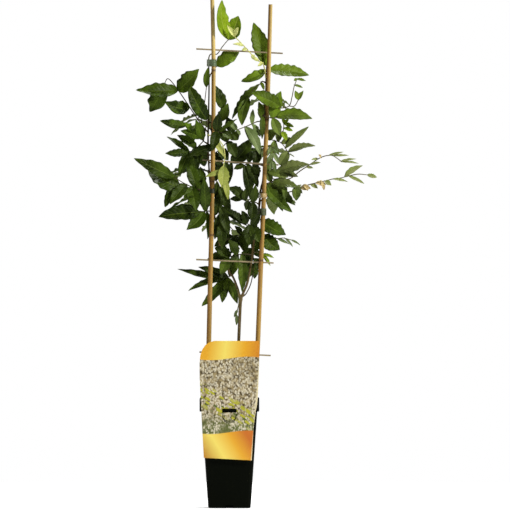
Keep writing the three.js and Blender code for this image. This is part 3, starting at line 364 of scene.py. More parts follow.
def makePot():
    s = potSize
    base, rim, wall, top, r = s["baseHalf"], s["rimHalf"], s["wall"], s["height"], s["corner"]
    innerRim, floorTop = rim - wall, s["floorTop"]
    profile = [   # half width, corner radius, height, from the foot up the outside and down the inside
        (base - 3, r - 2, 0), (base - 1.2, r - 0.8, 0.5), (base - 0.3, r - 0.2, 1.6),
        (base, r, s["footChamfer"]), *[(bodyHalfAt(z), r, z) for z in (20, 60, 110, 160, rimBottom - 1.5)],
        (bodyHalfAt(rimBottom) + 0.3, r, rimBottom - 0.3), (rim - 1.1, r, rimBottom),
        (rim - 0.3, r, rimBottom + 0.5), (rim, r, rimBottom + 1.6), (rim, r, top - 1.4),
        (rim - 0.3, r, top - 0.35), (rim - 0.8, r - 0.8, top), (innerRim + 0.2, r - 1.3, top - 0.25),
        (innerRim, r - 1.6, top - 1.2), (innerRim, r - 1.6, rimBottom + 3),
        (bodyHalfAt(rimBottom) - wall, r - 1.6, rimBottom - 1),
        (bodyHalfAt(floorTop + 0.6) - wall, r - 1.6, floorTop + 0.6),
        (bodyHalfAt(floorTop) - wall - 1, r - 2.6, floorTop),
    ]
    pile = Pile()
    addLoft(pile, [squareRing(*row) for row in profile])
    pot = pile.build("nurseryPot", [potFinish()], "pot")
    lug = boxCutter((-s["lugWidth"] / 2, -rim - s["lugOut"], s["lugZ"]),
                    (s["lugWidth"] / 2, -rim + 1, s["lugZ"] + s["lugHeight"]))
    soften = lug.modifiers.new("soften", "BEVEL")
    soften.width = s["lugEdge"] * millimetre
    soften.segments = 2
    carve(pot, [lug], "UNION")
    half, deep, high = s["channelWidth"] / 2, s["channelDepth"], s["channelHeight"]
    tools = [boxCutter((-half, -base - deep, -high), (half, -base + deep, high), turn)
             for turn in (0, 90, 180, 270)]
    for sx, sy in ((-1, -1), (-1, 1), (1, -1), (1, 1)):
        hole = Pile()
        ends = vectors((sx * s["drainAt"], sy * s["drainAt"], side * s["drainReach"]) for side in (-1, 1))
        addTube(hole, ends, [s["drain"]] * 2, s["drainSides"])
        tools.append(addObject("cutter", meshOf("cutter", hole.points, hole.faces)))
    carve(pot, tools)
    pot.data.set_sharp_from_angle(angle=math.radians(potPlastic["sharp"]))


makePot()
print("pot made")

# Soil

soilLook = dict(top=203, bottom=8.7, slack=0.3, rings=26, edgeDrop=1.6, bump=1.76,
                heaps=[(0.045, 1.1), (0.19, 0.9), (0.6, 0.4)],           # how close and how high
                seed=91, chips=260, chipLong=(3.0, 9.0), chipWide=(0.35, 0.65), chipThick=(0.8, 2.2),
                specks=46, speckLong=(1.2, 2.6), speckWide=0.8, speckThick=0.7, half=(0.42, 0.58), proud=0.9,
                damp=(38, 27, 19), earth=(74, 54, 38), peat=(22, 15, 10), bark=(70, 44, 26),
                wood=(150, 110, 74), perlite=(206, 200, 186), roughness=0.72, relief=[0.0012, 0.8])
chipCorners = ((-1, -0.7, -1), (1, -1, -1), (0.8, 1, -1), (-0.9, 0.8, -1),
               (-0.8, -0.6, 1), (0.9, -0.7, 1), (0.6, 0.7, 1), (-0.7, 0.9, 1))


def soilFinish():
    f = Finish("pottingSoil", soilLook, Specular_IOR_Level=0.25)
    shade = f.read("shade")
    fine = f.cloud(1500, 5, 0.7)
    earth = f.mix(fine.between(0.35, 0.75) * 0.6, f.mix(f.cloud(90, 4), "damp", "earth"), "peat")
    f.colour = f.mix(shade.between(0.01, 0.05), earth, f.mix(shade.between(0.2, 0.8), "bark", "wood"))
    f.coat(shade.between(0.93, 0.96), "perlite")
    return f.finish(fine * 0.2, f.cells(420) * 0.7 + fine * 0.5)


def makeSoil():
    look = soilLook
    inset = potSize["wall"] + look["slack"]
    radius = potSize["corner"] - inset
    rimInside = potSize["rimHalf"] - inset
    rings = [squareRing(bodyHalfAt(look["bottom"]) - inset, radius, look["bottom"]),
             squareRing(bodyHalfAt(rimBottom - 1) - inset, radius, rimBottom - 0.7),
             squareRing(rimInside, radius, rimBottom + 3.6)]
    for i in range(look["rings"]):
        share = 1 - i / look["rings"]
        ring = squareRing(rimInside * share, radius * share, look["top"])
        for p in ring:
            swell = sum(noise.noise(p * close) * high for close, high in look["heaps"])
            p.z += look["bump"] * swell - (look["edgeDrop"] if i == 0 else 0)
        rings.append(ring)
    pile = Pile()
    addLoft(pile, rings)
    draw = seededDraws(look["seed"])
    reach = potSize["rimHalf"] - 6
    for n in range(look["chips"] + look["specks"]):
        speck = n >= look["chips"]
        x, y = (2 * draw() - 1) * reach, (2 * draw() - 1) * reach
        long = blend(look["speckLong" if speck else "chipLong"], draw() ** 2)
        wide, thick = long * look["speckWide"], long * look["speckThick"]
        if not speck:
            wide, thick = long * blend(look["chipWide"], draw()), blend(look["chipThick"], draw())
        tilt = Quaternion((draw() - 0.5, draw() - 0.5, 2.0), draw() * 6.3)
        tilt = tilt @ Quaternion((1, 0, 0), (draw() - 0.5) * 0.7)
        centre = Vector((x, y, look["top"] + look["proud"] + thick * 0.25))
        corners = []
        for dx, dy, dz in chipCorners:
            reached = tilt @ Vector((dx * long, dy * wide, dz * thick))
            corners.append(centre + reached * blend(look["half"], draw()))
        pile.add(corners, boxFaces, 0, shade=1.0 if speck else 0.1 + 0.8 * draw())
    pile.build("pottingSoil", [soilFinish()], "soil", sharp=40)


makeSoil()
print("soil made")

# Plant card

cardLook = dict(glow=(252, 228, 104), gold=(238, 174, 34), amber=(206, 112, 24), bronze=(196, 134, 30),
                petal=(236, 226, 196), gap=(78, 64, 34), stone=(166, 148, 104), leaf=(182, 178, 46),
                moss=(88, 102, 36), edge=(238, 224, 176), cut=(14, 12, 8), back=(226, 224, 216), ink=0.74,
                wave=3.5, waveLong=24, bandTop=299, bandFoot=152, bandEdge=0.8, petalSize=300, leafSize=70,
                leafLean=35, garland=214, tongueHalf=13.9, tongueDrop=17.4, tongueTop=188.4, tongueLine=0.7,
                roughness=0.34, relief=[0.00005, 0.3])


def cardFinish():
    look = cardLook
    f = Finish("printedCard", look, Specular_IOR_Level=0.4, Coat_Weight=0.2, Coat_Roughness=0.15)
    x, z = f.axis("X") / millimetre, f.axis("Z") / millimetre
    slant = x / 118 + 0.5 - (z - 200) / 900
    top = f.node("ValToRGB", {"stops": [(0, "gold"), (0.3, "glow"), (0.62, "gold"), (1, "amber")]},
                 {0: slant})
    low = f.node("ValToRGB", {"stops": [(0.05, "bronze"), (0.38, "glow"), (0.7, "gold"), (0.98, "amber")]},
                 {0: slant + (z - 125) / 160})
    hanging = f.cloud(75, 3, 0.55, at=(1, 0, 0.22))          # petals gather in long bunches
    squash = (1, 0, 0.75)
    petals = f.cells(look["petalSize"], at=squash)
    tint = f.cells(look["petalSize"], output="Color", at=squash)
    lush = f.cloud(24, 2, at=(1, 0, 1))
    bloom = (1 - petals.between(0.36, 0.7)) * (hanging.between(0.3, 0.55) * 0.75 + 0.25)
    bloom = bloom * (1 - (1 - z.between(172, 186)) * lush.between(0.45, 0.6))
    f.colour = f.mix(f.cloud(120, 4, at=(1, 0, 1)).between(0.38, 0.62), "gap", "stone")
    f.coat((1 - z.between(160, 200)) * 0.8, "moss")
    f.coat(bloom * (0.5 + tint * 0.5), "petal")
    lean = (0, math.radians(look["leafLean"]), 0)
    turned = f.node("Mapping", {"vector_type": "TEXTURE"},
                    {"Vector": f.spot(), "Rotation": lean, "Scale": (1, 1, 0.36)})
    blades = f.cells(look["leafSize"], at=turned)
    leafTint = f.cells(look["leafSize"], output="Color", at=turned).between(0.25, 0.6)
    garland = 1 - abs(z - look["garland"] + x * 0.5 + lush * 30).between(14, 30)
    f.coat((1 - blades.between(0.42, 0.5)) * garland, f.mix(leafTint, "moss", "leaf"))
    f.coat((1 - blades.between(0.02, 0.05)) * garland, "gap")
    level = z - (x / look["waveLong"]).maths("SINE") * look["wave"]      # the bands end in a wavy line
    edge = look["bandEdge"]
    f.coat(level.between(look["bandTop"] - edge, look["bandTop"] + edge), top)
    f.coat(1 - level.between(look["bandFoot"] - edge, look["bandFoot"] + edge), low)
    # A thin strip along the card's curled right edge is painted pale: a painted highlight.
    f.coat((x - z * 0.085).between(33.5, 35) * (1 - level.between(298, 300)) * 0.8, "edge")
    # The die-cut line round the tongue under the slot is painted near-black: painted shadow in the slit.
    half, down = look["tongueHalf"], (look["tongueTop"] - z) / look["tongueDrop"]
    bend = (1 - abs(x) / half).clipped() ** 0.5 + (1 - down).clipped() ** 0.5
    cut = (1 - abs(bend - 1).between(0.04, 0.1)) * (1 - abs(x).between(half, half + look["tongueLine"]))
    f.coat(cut * down.between(0.0, 0.02) * (1 - down.between(1.04, 1.08)), "cut")       # under the slot
    f.coat(f.axis("Y", of="Normal").between(-0.3, 0.3), "back")        # nothing is printed on the back
    f.colour = f.mix(1.0, f.colour, (look["ink"],) * 3, "MULTIPLY")
    return f.finish(f.cloud(300, 2) * 0.08, f.cloud(1200, 1))


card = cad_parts["plant_card"]
card.data.materials.clear()
card.data.materials.append(cardFinish())
print("card finished")

# Canes, sticks and bands

caneDepth = -6
# The palest straw colour is painted light, laid on the canes' lit side and on the top of the left cane.
caneLook = dict(sides=24, step=14, straw=(160, 118, 36), tan=(124, 86, 22), brown=(72, 42, 16),
                moss=(96, 84, 48), sunned=(216, 190, 116), roughness=0.42, relief=[0.00012, 0.7],
                jointSteps=(-9.0, -5.0, -3.0, -1.6, -0.8, 0.0, 0.8, 1.6, 2.6, 4.0, 8.0),
                swellings=[(1.4, 1.3, 0.55), (-2.2, 1.6, 0.385), (0, 0.6, -0.22)],    # rise, length, size
                stains=[(0, 1.4, 1), (0, 7, 0.35)], oval=0.02,
                openTop=[(0.9, 0.0), (0.42, 0.3), (0.378, 2.0), (0.336, 16)])         # radius share, depth
leftCane = dict(node="cane_left", radii=(5.0, 4.0), joints=(287, 545, 652, 874),
                route=[[-41, 96], [-43.2, 200], [-42, 300], [-39, 435], [-36, 560], [-33.6, 680], [-32, 790],
                       [-31.8, 900], [-34.4, 1018]])
rightCane = dict(node="cane_right", radii=(5.0, 4.0), joints=(250, 494, 776),
                 route=[[41, 96], [47.6, 200], [56.5, 325], [62.5, 480], [68, 605], [71, 690], [75, 780],
                        [78.4, 870], [82, 1006]])


def alongRoute(route, z):
    for (x0, z0), (x1, z1) in zip(route, route[1:]):
        if z <= z1 or [x1, z1] == route[-1]:
            return blend((x0, x1), (z - z0) / (z1 - z0))


def caneRadiusAt(cane, z):
    bottom, top = cane["route"][0][1], cane["route"][-1][1]
    return blend(cane["radii"], (z - bottom) / (top - bottom))


def humpsAt(z, joints, rows):
    return sum(size * hump(z - joint - rise, long) for joint in joints for rise, long, size in rows)


def caneFinish():
    f = Finish("bambooCane", caneLook, Specular_IOR_Level=0.35)
    height = f.axis("Z")
    fibres = f.cloud(1700, 4, 0.6, at=(1, 1, 0.018))
    blotch = f.cloud(55, 5, 0.6, at=(1, 1, 0.35))
    f.colour = f.mix(f.cloud(14, 3, at=(1, 1, 0.5)).between(0.3, 0.7), "tan", "straw")
    # The side of a cane that faces right is painted lighter, more so higher up, as painted light; the side
    # that faces left is painted darker brown, as painted shade.
    right = f.axis("X", of="Normal").between(-0.7, 1.0)
    left = 1 - f.axis("X").between(-0.01, 0.01)
    f.coat((height.between(0.55, 0.95) * 0.55 + 0.25) * right, "sunned")
    f.coat((1 - right) * 0.35, "brown")
    f.coat(fibres.between(0.5, 0.8) * 0.4, "brown")
    f.coat(blotch.between(0.56, 0.74) * 0.5, "moss")
    # The top of the left cane is painted paler, more on its right-facing side: painted light.
    f.coat(height.between(0.85, 0.93) * left * (0.4 + right * 0.5), "sunned")
    f.coat(f.read("shade") * 0.85, "brown")
    return f.finish(fibres * 0.15 + blotch * 0.1, fibres - blotch * 0.2)


def makeCane(cane, name, finish):
    look, route, joints = caneLook, cane["route"], cane["joints"]
    bottom, top = route[0][1], route[-1][1]
    near = [z + step for z in joints for step in look["jointSteps"]]
    steps = [*range(bottom, top, look["step"]), top, *near]
    heights = sorted({float(z) for z in steps if bottom <= z <= top})
    points = [Vector((alongRoute(route, z), caneDepth, z)) for z in heights]
    radii = [caneRadiusAt(cane, z) + humpsAt(z, joints, look["swellings"]) for z in heights]
    stain = [clip(humpsAt(z, joints, look["stains"])) for z in heights]
    end, endRadius = points[-1], radii[-1]
    for share, drop in look["openTop"]:
        points.append(end - Vector((0, 0, drop)))
        radii.append(endRadius * share)
        stain.append(0.2 + 0.6 * (drop > 0))
    angles = anglesRound(look["sides"])
    rings = [[point + spoke(a) * radius * (1 + look["oval"] * math.sin(2 * a + point.z * 0.004))
              for a in angles] for point, radius in zip(points, radii)]
    pile = Pile()
    addLoft(pile, rings, shade=[value for value in stain for _ in angles])
    pile.build(name, [finish], cane["node"], sharp=50)


bambooFinish = caneFinish()
makeCane(leftCane, "leftCane", bambooFinish)
makeCane(rightCane, "rightCane", bambooFinish)

rungLook = dict(half=(1.6, 1.3), steps=36, slim=0.12, jag=1.4, nick=0.08, uneven=0.05, wavy=0.06, waves=19,
                pale=(156, 140, 106), grey=(104, 92, 66), dark=(52, 42, 26), roughness=0.75,
                relief=[0.0002, 0.8],
                outline=((-1, -0.6), (-0.75, -0.85), (-0.4, -1), (0.3, -1), (1, -0.96), (1, -0.2), (1, 0.5),
                         (0.75, 0.8), (0.5, 1), (-0.3, 1), (-0.96, 0.96), (-1, 0.2)))
rungs = [
    dict(node="rung_top", piece="topRung", ends=[[-67, 917], [107, 908]], seed=71),
    dict(node="rung_upper", piece="upperRung", ends=[[-55, 695], [99, 685]], seed=72),
    dict(node="rung_lower", piece="lowerRung", ends=[[-67, 496], [89, 489]], seed=73),
    dict(node="rung_bottom", piece="bottomRung", ends=[[-61, 311], [83, 304]], seed=74),
]


def stickFinish():
    f = Finish("splitStick", rungLook, Specular_IOR_Level=0.3)
    fibres = f.cloud(2400, 4, 0.65, at=(0.03, 1, 1))
    f.colour = f.mix(f.cloud(40, 4, at=(0.5, 1, 1)).between(0.3, 0.7), "grey", "pale")
    f.coat(fibres.between(0.45, 0.75) * 0.55, "dark")
    return f.finish(height=fibres)


def makeRung(rung, finish):
    (x0, z0), (x1, z1) = rung["ends"]
    look, steps, (high, deep) = rungLook, rungLook["steps"], rungLook["half"]
    draw = seededDraws(rung["seed"])
    nicks = [look["nick"] * (draw() - 0.5) for _ in look["outline"]]
    rings = []
    for i in range(steps + 1):
        t = i / steps
        size = (1 - look["slim"] * t) * (1 + look["uneven"] * (draw() - 0.5))
        inset = (i == 0) - (i == steps)
        ring = []
        for k, (a, b) in enumerate(look["outline"]):
            jag = look["jag"] * (draw() - 0.5) if i in (0, steps) else 0
            grow = size * (1 + nicks[k] + look["wavy"] * math.sin(t * look["waves"] + k))
            ring.append(Vector((blend((x0, x1), t) + jag + inset, caneDepth + a * deep * grow,
                                blend((z0, z1), t) + b * high * grow)))
        rings.append(ring)
    pile = Pile()
    addLoft(pile, rings)
    pile.build(rung["piece"], [finish], rung["node"], sharp=45)


rungFinish = stickFinish()
for rung in rungs:
    makeRung(rung, rungFinish)

bands = [      # far: the tone of the loop round the stem, where it isn't the same
    dict(node="clip_left_top", piece="topGreenClip", cane=leftCane, z=889, height=14, stem=[-41.4, -3.2, 0],
         room=3, slot="clip_green", colour=(78, 92, 64), far=(124, 130, 112), ridges=2),
    dict(node="tie_left", piece="leftTie", cane=leftCane, z=633, height=9, stem=[-37, 6, 0],
         room=3, slot="tie_dark", colour=(30, 34, 14), ridges=3),
    dict(node="clip_right_upper", piece="clearClip", cane=rightCane, z=624, height=9, stem=[61, 2, 0],
         room=3, slot="clip_clear", colour=(156, 132, 86), far=(196, 200, 194), ridges=0),
    dict(node="clip_right_low", piece="lowGreenClip", cane=rightCane, z=591, height=14, stem=[58.1, 3, 0],
         room=4, slot="clip_green", colour=(64, 70, 44), ridges=2),
]
bandShape = dict(wall=1.1, slack=0.85, edge=0.35, caneSteps=24, stemSteps=14, steps=14, dip=0.28,
                 roughness=0.34, relief=[0.00006, 0.5])


def bandFinish(band):
    colour, split = band["colour"], band["stem"][0] + 1
    worn = tuple(min(255, v * 1.35 + 12) for v in colour)
    look = dict(bandShape, near=colour, far=band.get("far", colour), worn=worn)
    f = Finish(band["piece"] + "Plastic", look, Specular_IOR_Level=0.4)
    haze = f.cloud(180, 3)
    f.colour = f.mix((f.axis("X") / millimetre).between(split - 1, split + 1), "far", "near")
    f.coat(haze.between(0.4, 0.7) * 0.5, "worn")
    return f.finish(haze * 0.2, f.cloud(2200, 2))


def makeBand(band):
    cane, z, half, ridges, shape = band["cane"], band["z"], band["height"] / 2, band["ridges"], bandShape
    caneAt = Vector((alongRoute(cane["route"], z), caneDepth, 0))
    stemAt = Vector(band["stem"])
    reach = stemAt - caneAt
    heading = math.atan2(reach.y, reach.x)

    def outline(extra):
        caneRound = caneRadiusAt(cane, z) + shape["slack"] + extra
        stemRound = band["room"] + extra
        lean = math.acos((caneRound - stemRound) / reach.length)
        points = []
        for start, turn, steps, centre, radius in (
                (lean, 2 * math.pi - 2 * lean, shape["caneSteps"], caneAt, caneRound),
                (-lean, 2 * lean, shape["stemSteps"], stemAt, stemRound)):
            points += [centre + spoke(heading + start + turn * k / steps) * radius for k in range(steps + 1)]
        return points
    edge = shape["edge"]
    profile = [(0, edge - half), (edge, -half), (1 - edge, -half), (1, edge - half)]
    steps = shape["steps"] if ridges else 2
    for i in range(1, steps):
        dip = shape["dip"] * (0.5 - 0.5 * math.cos(2 * math.pi * (ridges + 1) * i / steps)) if ridges else 0
        profile.append((1 - dip, -half + 2 * half * i / steps))
    profile += [(1, half - edge), (1 - edge, half), (edge, half), (0, half - edge)]
    rings = [[blend((low, high), out) + Vector((0, 0, z + rise)) for out, rise in profile]
             for low, high in zip(outline(0), outline(shape["wall"]))]
    pile = Pile()
    addLoft(pile, rings, closed=True)
    pile.build(band["piece"], [bandFinish(band)], band["node"], sharp=55)


for band in bands:
    makeBand(band)
print("canes, sticks and bands made")

# Vine

vine = dict(
    trunk=dict(points=[[16, 2, 158], [17, 2, 230], [18.6, 3, 335], [21, 4, 395], [23, 4, 421]],
               radii=(3.5, 2.9)),
    left=dict(points=[[22.5, 4, 417], [17, 4, 435], [13, 5, 447], [7, 7, 461], [-1, 9, 473],
                      [-14, 11, 505], [-24, 11, 545], [-31, 9, 590], [-37, 6, 633], [-41, 4, 680],
                      [-43, 2, 730], [-42, 1, 780], [-41, 0, 830], [-41, -1, 868]],
              radii=(2.4, 1.4)),
    right=dict(points=[[22.5, 4, 417], [28.5, 4, 431], [36, 6, 450], [43.5, 8, 490], [50, 7, 540],
                       [58, 3, 590], [61, 2, 623], [62, 2.2, 634], [67, 3, 656], [69.5, 3.5, 692],
                       [71, 3.5, 740], [69.5, 3.5, 792], [72.5, 3, 832], [73.5, 3, 870]],
               radii=(2.5, 1.4)),
)
vineKnee = dict(points=[[20.5, 4, 403], [21.6, 4, 410], [22.6, 4, 416], [23, 4.2, 421], [23.2, 4.4, 426]],
                radii=(1.8, 3.3, 3.8, 3.3, 1.6))      # the swollen fork of the two stems
barkLook = dict(old=(74, 58, 20), crack=(32, 24, 6), pale=(112, 96, 62), green=(58, 58, 22), sides=16,
                steps=6, ridge=0.05, rough=0.04, uneven=0.05, knot=0.22, knotLong=3.5, knotMost=1.2,
                roughness=0.7, relief=[0.0003, 0.8])


def barkFinish():
    f = Finish("vineBark", barkLook, Specular_IOR_Level=0.3)
    ridges = f.cloud(1100, 5, 0.65, at=(1, 1, 0.12))
    dots = 1 - f.cells(330, at=(1, 1, 0.6)).between(0.08, 0.2)
    f.colour = f.mix(f.cloud(70, 4, at=(1, 1, 0.4)).between(0.35, 0.7) * 0.7, "old", "pale")
    f.coat(f.axis("Z").between(0.5, 0.85) * 0.6, "green")
    f.coat(ridges.between(0.45, 0.75) * 0.6, "crack")
    f.coat(dots * 0.35, "pale")
    return f.finish(ridges * 0.2, ridges + dots * 0.3)


def stemAt(stem, z):                   # the middle of a stem, its radius and where it heads
    points, radii = vectors(vine[stem]["points"]), vine[stem]["radii"]
    for i, (low, high) in enumerate(zip(points, points[1:])):
        if z <= high.z:
            t = (z - low.z) / (high.z - low.z)
            return low.lerp(high, t), blend(radii, (i + t) / (len(points) - 1)), (high - low).normalized()
    return points[-1], radii[-1], Vector((0, 0, 1))


# Leaves and shoots: tone, seed, the stem and height that the stalk leaves from, the stalks, and the leaflets,
# each with its place along the stalks, its tip's x, y and z, its width, and at times a turn and a bow

